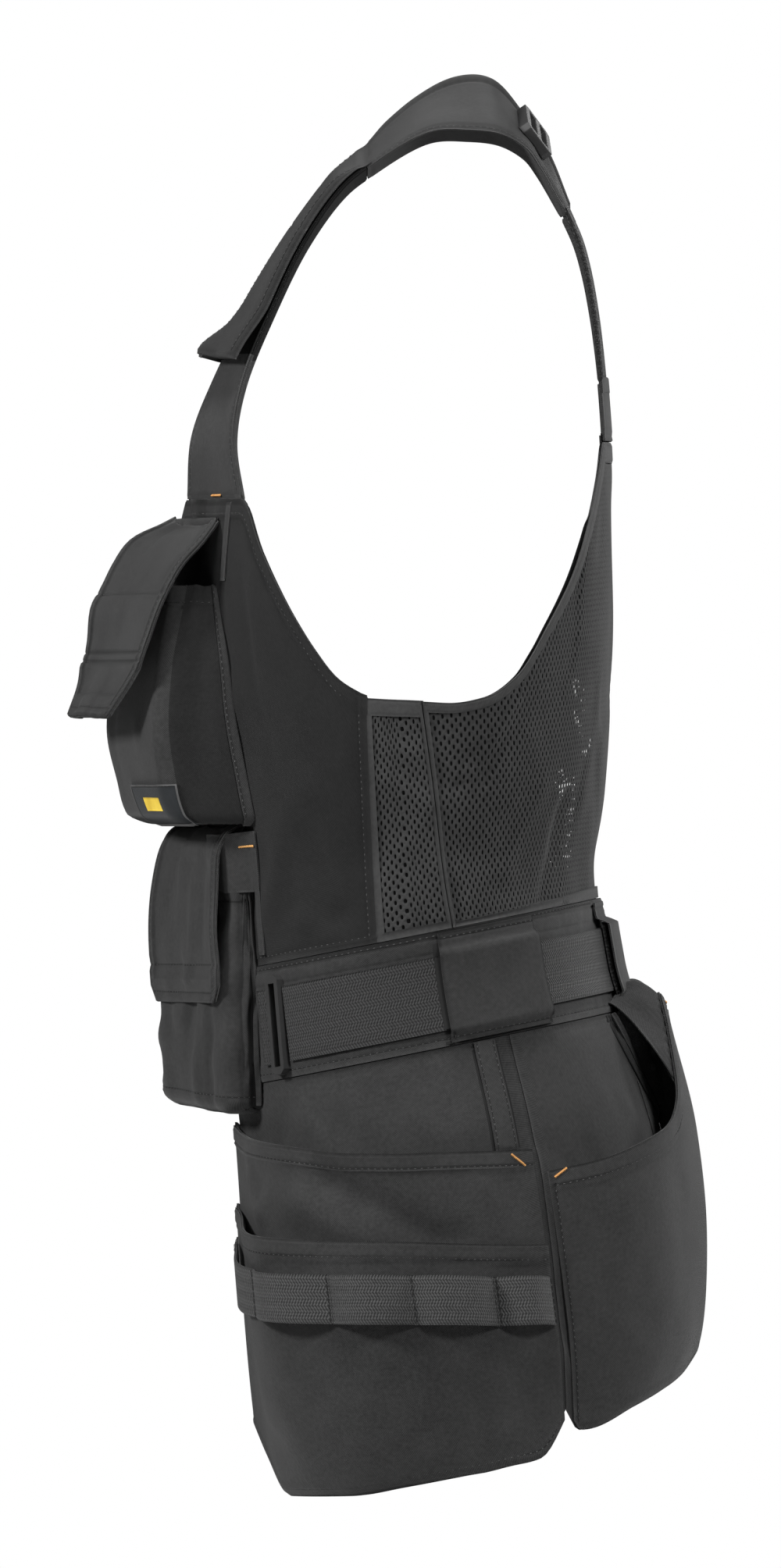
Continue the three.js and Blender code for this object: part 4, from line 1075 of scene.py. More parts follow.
# Laps over the joints at both ends of the back strap
def strap_lap(s, t, offset):
    upper = on_strap(0.02 + 0.86 * s, 1 - 0.05 * np.clip(1 - 2 * t, 0, 1), offset)
    lower = on_back_strap(s, 0.09 * np.clip(2 * t - 1, 0, 1), offset)
    return np.where((t < 0.5)[..., None], upper, lower)


def tab_lap(angle, share, offset):
    return body_point(angle, -BACK_TAB_DROP - 0.006 + 0.0085 * share, offset)


lap = (STRAP_CLOTH - 0.0012, 0.0015)
both(
    "back_strap_lap", strap_lap, stations(0, 1, 0.1), shares(0.05), *lap, slot="webbing",
    material=dark_webbing,
)
tab_columns = stations(TAB_EDGE, 360 - TAB_EDGE, 1.0)
one("back_tab_lap", tab_lap, tab_columns, shares(0.1), *lap, "reinforced_fabric")

# Strap pad, flaring at its free end
pad_end = STRAP_JOINT - joint_gap


def pad_free(t):
    return 1 - (t - PAD_START) / (pad_end - PAD_START)


def pad_inner(s, t):
    free = pad_free(t)
    lip = 0.005 * smooth(free, 0.78, 1) + 0.006 * smooth(free, 0.86, 1) * smooth(1 - s, 0.5, 1)
    return STRAP_CLOTH + GAP + 0.0002 + lip - 0.0014 * smooth(t, pad_end - 0.02, pad_end + 0.004)


PAD_LENGTH = 0.17
PAD_CHANNELS = (0.055, 0.085)


def pad_thick(s, t):
    crown = np.clip(1 - (2 * s - 1) ** 6, 0, 1) ** 0.5
    low, high = (groove(pad_free(t) * PAD_LENGTH - channel, 0.0006) for channel in PAD_CHANNELS)
    joined = smooth(pad_free(t), 0, 0.3)
    return 0.0006 + 0.0044 * crown * joined + (low + high) * joined


for piece in both(
    "strap_pad_cloth", on_strap, stations(0, 1, 0.035, (0.01, 0.02, 0.04, 0.96, 0.98, 0.99)),
    stations(PAD_START, pad_end + 0.01, 0.004), pad_inner, pad_thick, "strap_pad", material=pad_cloth,
):
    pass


# Pockets that stand on the front panel, in their own frame: u across from the centre to the arm
# side, w out from the body
POCKET_ANGLES = (6, 46)
CHEST_MOUTH = -0.252
CHEST_HEIGHT = 0.125
CHEST_DEPTH = 0.048
CHEST_FLAP_RISE = 0.038
CHEST_FLAP_DROP = 0.108
FLAP_OVERHANG = 0.005
FLAP_CHAMFER = 0.026
CHEST_BOTTOM = CHEST_MOUTH - CHEST_HEIGHT
LOWER_FLAP_TOP = CHEST_BOTTOM - 0.004
LOWER_FLAP_DROP = 0.089
LOWER_MOUTH = LOWER_FLAP_TOP - 0.027
LOWER_HEIGHT = 0.112
LOWER_DEPTH = 0.03
LOWER_TILT = 0.006

# Depth on the centre and arm sides and reach to the arm side, by height as a share
CHEST_BAG = table(
    "up centre arm reach",
    (0, 0.5, 0.62, 1.09), (0.045, 0.69, 0.76, 1.09), (0.15, 0.79, 0.84, 1.08), (0.42, 0.92, 0.92, 1.03),
    (0.65, 0.92, 0.86, 0.97), (0.86, 0.84, 0.71, 0.83), (1, 0.72, 0.6, 0.71),
)
LOWER_BAG = table(
    "up centre arm reach",
    (0, 0.86, 0.56, 1), (0.04, 0.9, 0.59, 1), (0.45, 0.91, 0.6, 1), (1, 0.85, 0.56, 1),
)
# The inner faces of the flaps, by drop as a share
CHEST_FLAP = table(
    "down centre arm reach",
    (0.02, -0.3, -0.3, 0.65), (0.026, -0.06, -0.06, 0.65), (0.047, 0.02, 0.08, 0.68),
    (0.088, 0.2, 0.19, 0.76), (0.156, 0.53, 0.34, 0.84), (0.26, 0.72, 0.57, 0.9),
    (0.358, 0.84, 0.72, 0.94), (0.459, 0.95, 0.84, 0.96), (0.628, 0.99, 0.98, 0.96),
    (0.714, 1.03, 1.05, 0.96), (0.82, 1.12, 1.12, 0.96), (1, 1.37, 1.29, 0.96),
)
LOWER_FLAP = table(
    "down centre arm reach",
    (-0.002, -0.4, -0.4, 1), (0, 0.3, 0.2, 1), (0.02, 0.6, 0.5, 1), (0.09, 0.79, 0.66, 1),
    (0.33, 0.96, 0.7, 1), (0.62, 1.01, 0.72, 1), (1, 0.93, 0.68, 1),
)


class PocketFrame:
    """The flat frame a pocket stands in, with the panel's own face behind it."""

    def __init__(self, z):
        a, b = (body_point(angle, z) for angle in POCKET_ANGLES)
        self.width = float(np.linalg.norm(b - a))
        self.across = (b - a) / self.width
        self.out = np.array([self.across[1], -self.across[0], 0])
        self.middle = (a + b) / 2
        self.levels = {}

    def place(self, u, w, z):
        u, w, z = np.broadcast_arrays(u, w, z)
        point = self.middle + u[..., None] * self.across + w[..., None] * self.out
        point[..., 2] = z
        return point

    def panel(self, u, z):
        """How far out the front panel's face lies at a place across."""
        angles = np.linspace(POCKET_ANGLES[0] - 12, POCKET_ANGLES[1] + 14, 90)
        u, z = np.broadcast_arrays(u, z)
        found = np.empty(u.shape)
        levels, where = np.unique(z.round(4), return_inverse=True)
        where = where.reshape(z.shape)
        for i, level in enumerate(levels):
            if level not in self.levels:
                face = body_point(angles, level, CLOTH) - self.middle
                self.levels[level] = (face @ self.across, face @ self.out)
            rows = where == i
            found[rows] = np.interp(u[rows], *self.levels[level])
        return found


def shifted(place, nudge=0.004, way=1):
    """Adds an offset square to a surface that has none of its own."""

    def at(u, v, offset=0.0):
        u, v = np.broadcast_arrays(np.asarray(u, float), np.asarray(v, float))
        du = place(u + nudge, v) - place(u - nudge, v)
        dv = place(u, v + nudge) - place(u, v - nudge)
        return place(u, v) + way * unit(np.cross(du, dv)) * np.asarray(offset, float)[..., None]

    return at


def bag_surface(pocket, rows, depth, mouth, height, tilt=0.0, pleat=0.0, radius=0.009, foot=0.005):
    """A pocket's outer face: u from 0 to 1 round it from the centre side to the arm side, v from -0.3
    under its bottom to 1 at its mouth."""
    half = pocket.width / 2
    centre_at, arm_at, reach_at = (column(rows, "up", name) for name in ("centre", "arm", "reach"))
    turns = (0.24, 0.3, 0.7, 0.76)  # shares of the way round where wall, corner and front meet

    def place(p, v):
        p = np.clip(p, 0, 1)
        up = np.clip(v, 0, 1)
        under = np.clip(-v / 0.3, 0, 1)
        z = mouth - height * (1 - up)
        curl = np.clip(1 - (z - mouth + height) / foot, 0, 1)
        inset = foot * (1 - np.sqrt(np.clip(1 - curl**2, 0, 1))) * (under == 0) + foot * (under > 0)
        reach = half * reach_at(up)
        centre, arm = centre_at(up) * depth, arm_at(up) * depth
        front = lambda u: centre + (arm - centre) * (u + half) / (half + reach) - inset
        left, right = half - inset, reach - inset
        r = np.maximum(radius - 0.5 * inset, 0.002)

        def wall(sign, side, k):
            """k from 0 at the panel to 1 at the corner's start."""
            fold = pleat * (1 - np.abs(2 * np.clip(k / 0.8, 0, 1) - 1)) if sign > 0 else 0.0
            u = sign * (side - fold)
            base = pocket.panel(u, z)
            return u, base + (front(sign * (side - r)) - r - base) * k

        def corner(sign, side, k):
            turn = k * math.pi / 2
            m = side - r
            return sign * (m + r * np.cos(turn)), front(sign * m) - r + r * np.sin(turn)

        k1, k2, k3, k4, k5 = (
            np.clip((p - a) / (b - a), 0, 1) for a, b in zip((0, *turns), (*turns, 1))
        )
        u1, w1 = wall(-1, left, k1)
        u2, w2 = corner(-1, left, k2)
        u3 = -(left - r) + (left + right - 2 * r) * k3
        u4, w4 = corner(1, right, 1 - k4)
        u5, w5 = wall(1, right, 1 - k5)
        part = np.digitize(p, turns)
        u = np.choose(part, [u1, u2, u3, u4, u5])
        w = np.choose(part, [w1, w2, front(u3), w4, w5])
        base = pocket.panel(u, z)
        w = w + (base - w) * under
        lower = tilt * (1 - up) * (u + half) / (2 * half)
        return pocket.place(u, w, z - lower)

    return shifted(place)


def flap_surface(pocket, rows, top, drop, depth, overhang, chamfer):
    """A flap's inner face: u from 0 on the centre side to 1 on the arm side, v from 0 at its seam to 1."""
    half = pocket.width / 2 + overhang
    run = curve(np.stack([rows["centre"] * depth, rows["arm"] * depth, top - rows["down"] * drop], -1))
    reach = column(rows, "down", "reach")

    def place(s, t):
        at = run(np.clip(t, 0, 1))
        past = np.clip(t - 1, 0, 1)[..., None] * (run(np.ones(1)) - run(np.full(1, 0.99))) * 100
        at = at + past
        narrowing = chamfer * np.clip((top - at[..., 2] - (drop - chamfer)) / chamfer, 0, 1)
        left = narrowing - half
        right = half * reach((top - at[..., 2]) / drop) - narrowing
        u = left + (right - left) * s
        w = at[..., 0] + (at[..., 1] - at[..., 0]) * s
        return pocket.place(u, np.maximum(w, pocket.panel(u, at[..., 2]) - 0.0006), at[..., 2])

    return shifted(place, way=-1)


chest_pocket = PocketFrame(CHEST_MOUTH - CHEST_HEIGHT / 2)
lower_pocket = PocketFrame(LOWER_MOUTH - LOWER_HEIGHT / 2)
bag_round = np.concatenate([
    stations(0, 0.24, 0.011, (0.004,)), stations(0.24, 0.3, 0.01)[1:], stations(0.3, 0.7, 0.0125)[1:],
    stations(0.7, 0.76, 0.01)[1:], stations(0.76, 1, 0.011, (0.996,))[1:],
])
bag_up = np.concatenate([
    stations(-0.3, -0.002, 0.06), [0.0], np.array([0.003, 0.008, 0.016, 0.026, 0.04]),
    stations(0.055, 0.9, 0.022), np.array([0.908, 0.914, 0.92, 0.926, 0.94, 0.965, 0.985, 0.994, 1.0]),
])
chest_face = bag_surface(chest_pocket, CHEST_BAG, CHEST_DEPTH, CHEST_MOUTH, CHEST_HEIGHT)
lower_face = bag_surface(
    lower_pocket, LOWER_BAG, LOWER_DEPTH, LOWER_MOUTH, LOWER_HEIGHT, LOWER_TILT, pleat=0.0035, radius=0.007
)


def chest_inner(p, v):
    soft = 0.0019 * crumple(p * 0.2, v * 0.12, 0.06, 61) * smooth(v, 0, 0.2)
    sag = -0.0022 * np.exp(-(((p - 0.88) / 0.06) ** 2)) * smooth(v, 0.1, 0.9)
    return soft + sag - CLOTH


def chest_thick(p, v):
    from_mouth = (1 - v) * CHEST_HEIGHT
    return CLOTH + hem(from_mouth, 0.0105, 0.0007) + groove((p - 0.745) * 0.2, 0.0006, 0.0009)


def gusset_of(made, start):
    """Marks a bag's columns past a share of the way round it for the darker cloth of painted shade."""
    rows = len(bag_up) - 1
    late = np.tile(bag_round[:-1] >= start, rows)
    marks = np.zeros(len(made.data.polygons), np.int32)
    marks[: 2 * len(late)] = np.concatenate([late, late])
    made.data.polygons.foreach_set("material_index", marks)


made = surface_sheet("chest_pocket_cloth_left", chest_face, bag_round, bag_up, chest_inner, chest_thick)
gusset_of(made, 0.745)
second(pair(made, "chest_pocket", "hung", ["front_panel_SIDE"]), gusset_cloth)


def lower_inner(p, v):
    gather = 0.0012 * np.sin(p * 150 + 3 * np.sin(p * 31)) * smooth(v, 0.55, 1)
    soft = ridges(
        p * 0.2, v * 0.112,
        (0.11, 0.0, 0.118, 0.09, 0.006, 0.002), (0.128, 0.0, 0.13, 0.1, 0.004, -0.0018),
        (0.07, 0.0, 0.064, 0.08, 0.007, 0.0015), (0.165, 0.02, 0.17, 0.1, 0.003, 0.0012),
    )
    front = smooth(p, 0.2, 0.34) * smooth(1 - p, 0.2, 0.34)
    dents = 0.0024 * crumple(p * 0.2, v * 0.12, 0.045, 63) * smooth(v, 0, 0.2) * smooth(1 - v, 0.05, 0.3)
    return gather + (soft + dents) + 0.0034 * front * smooth(1 - v, 0.05, 0.5) - CLOTH


def lower_thick(p, v):
    from_mouth = (1 - v) * LOWER_HEIGHT
    return CLOTH + hem(from_mouth, 0.0075, 0.0009) + groove(v * LOWER_HEIGHT - 0.006, 0.0004)


made = surface_sheet("lower_pocket_cloth_left", lower_face, bag_round, bag_up, lower_inner, lower_thick)
gusset_of(made, 0.85)
second(pair(made, "lower_pocket", "gathered", ["front_panel_SIDE"]), gusset_cloth)

# Flaps
chest_flap = flap_surface(
    chest_pocket, CHEST_FLAP, CHEST_MOUTH + CHEST_FLAP_RISE, CHEST_FLAP_DROP, CHEST_DEPTH,
    FLAP_OVERHANG, FLAP_CHAMFER,
)
lower_flap = flap_surface(
    lower_pocket, LOWER_FLAP, LOWER_FLAP_TOP, LOWER_FLAP_DROP, LOWER_DEPTH, 0, FLAP_CHAMFER / 3
)


def flap_thick(width, run, lines):
    def thick(s, t):
        edge = np.minimum(np.minimum(s, 1 - s) * width, (1 - t) * run)
        total = FLAP_CLOTH + 0.0011 * (1 - smooth(edge, 0.0066, 0.0072)) + groove(edge - FLAP_STITCH, 0.0006)
        for line in lines:
            total = total + groove((t - line) * run, 0.0006, 0.0009)
        return total + 0.0004 * smooth(t, lines[-1], lines[-1] + 0.01)

    return thick


FLAP_STITCH = 0.0028  # from a flap's free edges


def chest_flap_inner(s, t):
    return 0.0009 * (1 + crumple(s * 0.11, t * 0.13, 0.045, 71)) * smooth(t, 0.05, 0.2)


def lower_flap_inner(s, t):
    soft = 0.0013 * (1 + crumple(s * 0.1, t * 0.1, 0.04, 73)) * smooth(t, 0.1, 0.3)
    return soft + ridges(
        s * 0.1, t * 0.1,
        (0.06, 0.06, 0.064, 0.09, 0.004, 0.0012), (0.076, 0.06, 0.078, 0.09, 0.004, -0.0012),
        (0.03, 0.055, 0.09, 0.06, 0.003, -0.0008),
    ) * smooth(t, 0.1, 0.3)


# Each flap's kind, face, width, run, sewn lines, inner face and cloth
FLAPS = (
    ("chest", chest_flap, 0.112, 0.135, (0.59, 0.79, 0.833), chest_flap_inner, flap_cloth),
    ("lower", lower_flap, 0.103, 0.105, (0.12, 0.905), lower_flap_inner, None),
)
rim_marks = np.array([0.01, 0.022, 0.028, 0.034, 0.05, 0.056, 0.062, 0.068])
for kind, face, width, run, lines, inner, cloth in FLAPS:
    both(
        f"{kind}_flap_cloth", face, stations(0, 1, 0.03, (*rim_marks, *(1 - rim_marks))),
        stations(0.09, 1, 0.02, (*lines, 0.94, 0.95, 0.975, 0.982, 0.992), 0.006), inner,
        flap_thick(width, run, lines), f"{kind}_flap", "folded", ["front_panel_SIDE"], material=cloth,
    )

# A bare woven label round the chest pocket's lower corner, with a plain yellow bar
label_u, label_v = (0.46, 0.75), (0.004, 0.17)
LABEL_SIZE = (0.06, 0.022)


def label_thick(u, v):
    edges = [
        np.minimum(at - low, high - at) / (high - low) * size
        for at, (low, high), size in zip((u, v), (label_u, label_v), LABEL_SIZE)
    ]
    return 0.0009 + 0.0003 * (1 - smooth(np.minimum(*edges), 0.0008, 0.0014))


def on_chest(rise):
    return lambda u, v: chest_inner(u, v) + chest_thick(u, v) + rise


one(
    "label_cloth", chest_face, stations(*label_u, 0.006), stations(*label_v, 0.008), on_chest(0.0002),
    label_thick, "label_fabric", ["pocket_label"],
)
yellow = plain_material("label_yellow", (0.55, 0.36, 0.02), (0.8, 0.58, 0.06), rough=0.8)
one(
    "label_bar", chest_face, stations(0.54, 0.69, 0.006), stations(0.06, 0.115, 0.01), on_chest(0.0011),
    0.0002, "label_fabric", (), yellow,
)

# Back tab
level = lambda z: lambda angle: np.full(np.shape(angle), z)
tab_place = between(level(-BACK_TAB_DROP - BACK_TAB_HEIGHT), level(-BACK_TAB_DROP))


def tab_thick(angle, share):
    below, above = distances(tab_place, angle, share)
    return STRAP_CLOTH + groove(below - 0.003) + groove(above - 0.003)


one(
    "back_tab_cloth", tab_place, tab_columns, shares(0.08, (0.02, 0.98)), 0, tab_thick,
    "reinforced_fabric", ["back_tab"], None, "hung", ["back_strap_left", "back_strap_right"],
)


# Mesh panels with open holes
def slant(angle, up):
    return angle + 2 * SIDE_SLANT * (0.5 - up)


def side_warp(angle, up):
    share = (angle - SIDE_FRONT) / (SIDE_SEAM - SIDE_FRONT)
    return angle + (slant(angle, up) - angle) * share


def back_warp(angle, up):
    near = np.minimum(angle, 360 - angle)
    lean = slant(near, up)
    moved = lean + (near - lean) * np.clip((near - SIDE_SEAM) / 24, 0, 1)
    return np.where(angle > 180, 360 - moved, moved)


mesh_top = outline(MESH_TOP)
side_place = between(panel_foot, mesh_top, side_warp)
back_place = between(panel_foot, lambda angle: mesh_top(angle) - GAP, back_warp)


def net_from(place, start, end, pitch, rise, folds):
    """A mesh's points by half pitches and rows, how many of each it has, and its top row."""
    probe = stations(start, end, 1.0)
    top, base, foot = (place(probe, np.full_like(probe, share), 0.0) for share in (1, 0.5, 0))
    length = np.concatenate([[0], np.cumsum(np.linalg.norm(np.diff(base, axis=0), axis=1))])
    heights = top[:, 2] - foot[:, 2]
    tall = heights.max()
    columns = 2 * round(length[-1] / pitch)
    rows = 2 * round(tall / rise / 2)
    to_angle = lambda i: np.interp(np.asarray(i, float) / columns * length[-1], length, probe)

    def point(i, j, offset):
        """i counts half pitches round the body and j rows of height; the top edge cuts the rows."""
        angle = to_angle(i)
        local = np.interp(angle, probe, heights)
        share = np.clip(np.asarray(j, float) / rows * tall / local, 0, 1)
        return place(angle, share, offset + folds(angle, share))

    return point, columns, rows, lambda i: np.interp(to_angle(i), probe, heights) / tall * rows


def knit(name, place, start, end, folds, pitch=0.00385, rise=0.0027):
    """A knitted mesh: diamond cells with an open hole in each."""
    point, columns, rows, top_row = net_from(place, start, end, pitch, rise, folds)
    cells = [(i, j) for j in range(rows + 1) for i in range(j % 2, columns + 1, 2)]
    ci, cj = np.array(cells, float).T
    under_top = cj + 1 <= np.minimum(top_row(ci - 1), top_row(ci + 1))
    inside = (ci >= 1) & (ci <= columns - 1) & (cj >= 1) & under_top
    ci, cj = ci[inside, None], cj[inside, None]
    corner = np.array([(-1, 0), (0, -1), (1, 0), (0, 1)])
    hole = np.array([(-0.3, 0.0), (-0.2, -0.42), (0.2, -0.42), (0.3, 0.0), (0.2, 0.42), (-0.2, 0.42)])
    key_i, key_j = ((cell + side).round().astype(int).ravel() for cell, side in zip((ci, cj), corner.T))
    unique, where = np.unique(key_i * 100000 + key_j, return_inverse=True)
    gi, gj = unique // 100000, unique % 100000
    hi, hj = ((cell + side).ravel() for cell, side in zip((ci, cj), hole.T))
    points = np.concatenate([point(gi, gj, 0.0006), point(hi, hj, 0.0002)])
    c = where.reshape(-1, 4)
    h = np.arange(len(hi)).reshape(-1, 6) + len(unique)
    quads = ((0, 1, 1, 0), (1, 2, 3, 2), (2, 3, 4, 3), (3, 0, 0, 5))
    faces = [np.stack([c[:, p], c[:, q], h[:, r], h[:, s]], 1) for p, q, r, s in quads]
    faces += [np.stack([c[:, p], h[:, q], h[:, r]], 1) for p, q, r in ((1, 2, 1), (3, 5, 4))]
    uv = np.stack([np.concatenate([gi, hi]) * pitch / 2, np.concatenate([gj, hj]) * rise], -1)
    made = object_from(name, points, [face for block in faces for face in block], uv)
    keep_flat(made, columns * pitch / 2, rows * rise, len(ci) * pitch * rise)
    return made


def side_folds(angle, share):
    u, v = arc(angle), share * 0.12
    return 0.0008 * crumple(u, v, 0.03, 51) + ridges(u, v, (arc(86), 0.085, arc(97), 0.06, 0.005, 0.0016))


def back_folds(angle, share):
    near = np.minimum(angle, 360 - angle)
    u, v = arc(near), share * 0.2
    return 0.0013 * crumple(u, v, 0.06, 53) + ridges(
        u, v,
        (arc(103), 0.13, arc(120), 0.185, 0.006, 0.0025),
        (arc(100), 0.12, arc(124), 0.2, 0.006, -0.0015),
        (arc(112), 0.03, arc(132), 0.1, 0.012, 0.002),
        (arc(130), 0.0, arc(140), 0.07, 0.008, -0.002),
    )


pair(
    knit("side_mesh_knit_left", side_place, SIDE_FRONT + SEAM, SIDE_SEAM - SEAM, side_folds),
    "side_mesh", "stretched", ["front_panel_SIDE", "waistband_SIDE"], "mesh_fabric",
)
finish_piece(
    knit("back_mesh_knit", back_place, SIDE_SEAM + SEAM, 360 - SIDE_SEAM - SEAM, back_folds),
    "mesh_fabric", ["back_mesh"], None, "stretched", ["back_tab", "waistband_back"],
)


# A fine near-black knit behind the open mesh, painted shade that stands for the vest's shaded inside, with
# gaps where daylight shows through
def backing(name, place, start, end, folds, gaps=None):
    vv, uu = np.meshgrid(stations(-0.02, 1, 0.012), stations(start, end, 0.75), indexing="ij")
    points = place(uu, vv, folds(uu, vv) - 0.0006)
    index = np.arange(uu.size).reshape(uu.shape)
    faces = np.stack([index[:-1, :-1], index[:-1, 1:], index[1:, 1:], index[1:, :-1]], -1).reshape(-1, 4)
    if gaps:
        faces = faces[~gaps(points.reshape(-1, 3)[faces].mean(1))]
    u, v = arc_lengths(points)
    made = object_from(name, points, faces, np.stack([u, v], -1))
    sides = np.diff(points, axis=0)[:, :-1], np.diff(points, axis=1)[:-1]
    area = np.linalg.norm(np.cross(*sides), axis=-1).sum()
    keep_flat(made, np.ptp(u, axis=1).max(), np.ptp(v, axis=0).max(), area)
    return made


def daylight(centre):
    """Gaps in two slanting bands near the back, the same on both sides."""
    y, z = centre[:, 1], centre[:, 2]
    upper = np.abs(y - 0.0595 + (z + 0.315) * 0.12) < 0.0045
    lower = np.abs(y - 0.05 - (z + 0.375) * 0.05) < 0.006
    band = (upper & (z > -0.342) & (z < -0.3)) | (lower & (z > -0.4) & (z < -0.348))
    check = (np.round(y / 0.0017) + np.round(z / 0.0017)) % 2 == 0
    return band & check & (np.abs(centre[:, 0]) > 0.03)


pair(
    backing("side_mesh_lining_left", side_place, SIDE_FRONT - 1, SIDE_SEAM + 0.5, side_folds),
    None, "stretched", ["side_mesh_knit_SIDE"], "mesh_fabric", painted_shade_black,
)
finish_piece(
    backing("back_mesh_lining", back_place, SIDE_SEAM - 0.5, 360.5 - SIDE_SEAM, back_folds, daylight),
    "mesh_fabric", (), painted_shade_black, "stretched", ["back_mesh_knit"],
)

# Bindings round the mesh panels
one(
    "back_mesh_top_binding", back_place, stations(SIDE_SEAM + SEAM, 360 - SIDE_SEAM - SEAM, FINE),
    stations(0.955, 1, 0.008), -0.0003, 0.0022, "mesh_fabric",
)
for name, place, start, end, foot, top, step, thick in (
    ("side_mesh_top", side_place, SIDE_FRONT + SEAM, SIDE_SEAM - SEAM, 0.93, 1, 0.01, 0.0022),
    ("side_mesh_front", side_place, SIDE_FRONT + SEAM, SIDE_FRONT + 1.6, 0, 1, 0.02, 0.0021),
    ("side_mesh_rear", side_place, SIDE_SEAM - 0.9, SIDE_SEAM - SEAM, 0, 1, 0.02, 0.0021),
    ("side_mesh_foot", side_place, SIDE_FRONT + SEAM, SIDE_SEAM - SEAM, 0, 0.035, 0.02, 0.0021),
    ("back_mesh_side", back_place, SIDE_SEAM + SEAM, SIDE_SEAM + 1.0, 0, 1, 0.02, 0.0021),
    ("back_mesh_foot", back_place, SIDE_SEAM + SEAM, 179.9, 0, 0.025, 0.02, 0.0021),
):
    columns = stations(start, end, min(FINE, (end - start) / 2))
    rows = stations(foot, top, step)
    both(f"{name}_binding", place, columns, rows, -0.0003, thick, slot="mesh_fabric")

TACK_WIDTH = 0.0016
TACK_THREADS = 16


def tack(name, u0, v0, u1, v1):
    """A bar tack: close threads across a short line on a sheet's outer face."""
    k = np.linspace(0, 1, TACK_THREADS)
    at = (u0 + (u1 - u0) * k, v0 + (v1 - v0) * k)
    line = faces_out[name](*at, 0.0003)
    up = unit(faces_out[name](*at, 0.0013) - line)
    along = unit(np.gradient(line, axis=0))
    side = unit(np.cross(along, up)) * TACK_WIDTH / 2
    thick = np.linalg.norm(line[-1] - line[0]) / TACK_THREADS * 0.75
    middle = line + up * thick * 0.6
    ring = [middle + way * thick for way in (along, up, -along, -up)]
    seams["bright"].append(np.stack([line - side, *ring, line + side], 1))


# Strips and flanges sewn along the pockets' rear seams
for kind, first, foot, thick in (("chest", 0.955, 0.0, 0.0011), ("lower", 0.95, 0.02, 0.0012)):
    both(
        f"{kind}_gusset_seam", faces_out[f"{kind}_pocket_cloth_left"],
        stations(first, 0.995, 0.008, (first + 0.002, 0.993)), stations(foot, 1, 0.02), 0.0002, thick,
    )


def over_chest(angle, share, offset):
    return body_point(angle - 2.6 + 1.2 * share, -0.25 + 0.041 * share, offset)


def over_lower(angle, share, offset):
    return body_point(angle, LOWER_MOUTH - 0.004 + 0.032 * share, offset)


def beside_lower(angle, share, offset):
    return body_point(angle, LOWER_MOUTH - 0.037 * (1 - share), offset)


both("chest_seam_flange", over_chest, stations(44, 46, 0.4), shares(0.05), CLOTH, 0.0013)
both(
    "lower_seam_flange", over_lower, stations(37, 50.5, 0.5, (49.2,), 0.3), shares(0.05),
    lambda angle, share: CLOTH + 0.011 * smooth(50.0 - angle, 0, 7),
    lambda angle, share: 0.0019 + 0.0005 * smooth(angle, 48.9, 49.5),
)
both("lower_side_piping", beside_lower, stations(48.6, 50.5, 0.3), shares(0.03), CLOTH, 0.0021)

# Gathered cloth that closes the back holster's mouth at its rear end, and the loop's filling
gather_low = lambda angle: band_bottom(angle) + 0.004


def gather_place(angle, share, offset):
    rim = back_rim(angle)
    z = gather_low(angle) + (rim - 0.002 - gather_low(angle)) * share + 0.011 * np.sin(math.pi * share) ** 0.7
    reach = 0.002 + (LAYER + BACK_DEPTH * back_full(angle, rim) - 0.003) * share
    pucker = 0.0009 * np.sin(angle * 7 + 4 * share)
    return body_point(angle, z, reach + pucker + offset)


both("back_gather", gather_place, stations(154, 168, 0.4), shares(0.04), 0, 0.0012)


def pleat_place(u, share, offset):
    angle = 152 + 11 * share + 0.6 + 7 * u * (1 - 0.45 * share)
    z = band_bottom(angle) - 0.001 - 0.05 * share
    stand = CLOTH + 0.0008 + 0.013 * u * smooth(share, -0.3, 0.4) + 0.001 * np.sin(u * 14 + 3 * share)
    return body_point(angle, z, stand + offset)


both("back_pleat", pleat_place, stations(0, 1, 0.05), shares(0.05), 0, 0.0014)
loop_place = between(waist_line(-ELASTIC_WIDTH / 2 - 0.003), waist_line(ELASTIC_WIDTH / 2 + 0.003))
both(
    "loop_filling", loop_place, stations(LOOP_ANGLE - 4.8, LOOP_ANGLE + 4.8, 1.2), shares(0.1),
    ON_BAND + 0.0022, 0.0034, slot="webbing", material=dark_webbing,
)

# Seam allowances on the inner side, behind the joints between the body's panels, in the darker cloth of
# painted shade
near_line = lambda line, half: between(lambda angle: line(angle) - half, lambda angle: line(angle) + half)
for name, place, start, end in (
    ("hip_joint", hip_front, HIP_JOINT - 1.6, HIP_JOINT + 1.6),
    ("band_foot", near_line(band_bottom, 0.004), HOLSTER[0], BACK_HOLSTER[1] + 2),
    ("band_top", near_line(band_top, 0.004), ZIP_EDGE + SEAM, 180),
    ("chest_seam", near_line(level(-CHEST_SEAM - 0.0035), 0.0035), 16.8, 47.6),
    ("back_tab", near_line(level(-BACK_TAB_DROP - BACK_TAB_HEIGHT), 0.004), TAB_EDGE + 0.4, 180),
):
    columns = stations(start, end, 0.8)
    both(f"{name}_backing", place, columns, shares(0.05), -0.001, 0.0009, material=gusset_cloth)

# The label's woven border
border_u, border_v = 0.0045, 0.008
for k, (u0, u1, v0, v1) in enumerate((
    (*label_u, label_v[0], label_v[0] + border_v), (*label_u, label_v[1] - border_v, label_v[1]),
    (label_u[0], label_u[0] + border_u, *label_v), (label_u[1] - border_u, label_u[1], *label_v),
)):
    one(
        f"label_border_{k}", faces_out["label_cloth"], stations(u0, u1, 0.006), stations(v0, v1, 0.008),
        0.00005, 0.0002, "label_fabric", (), thread,
    )

# Stitches
go = lambda start, end: np.linspace(start, end, max(8, int(abs(end - start) / 0.5)))
HEM_STITCH, FOOT_STITCH = 0.008, 0.0045  # from a pocket's rim and from its foot


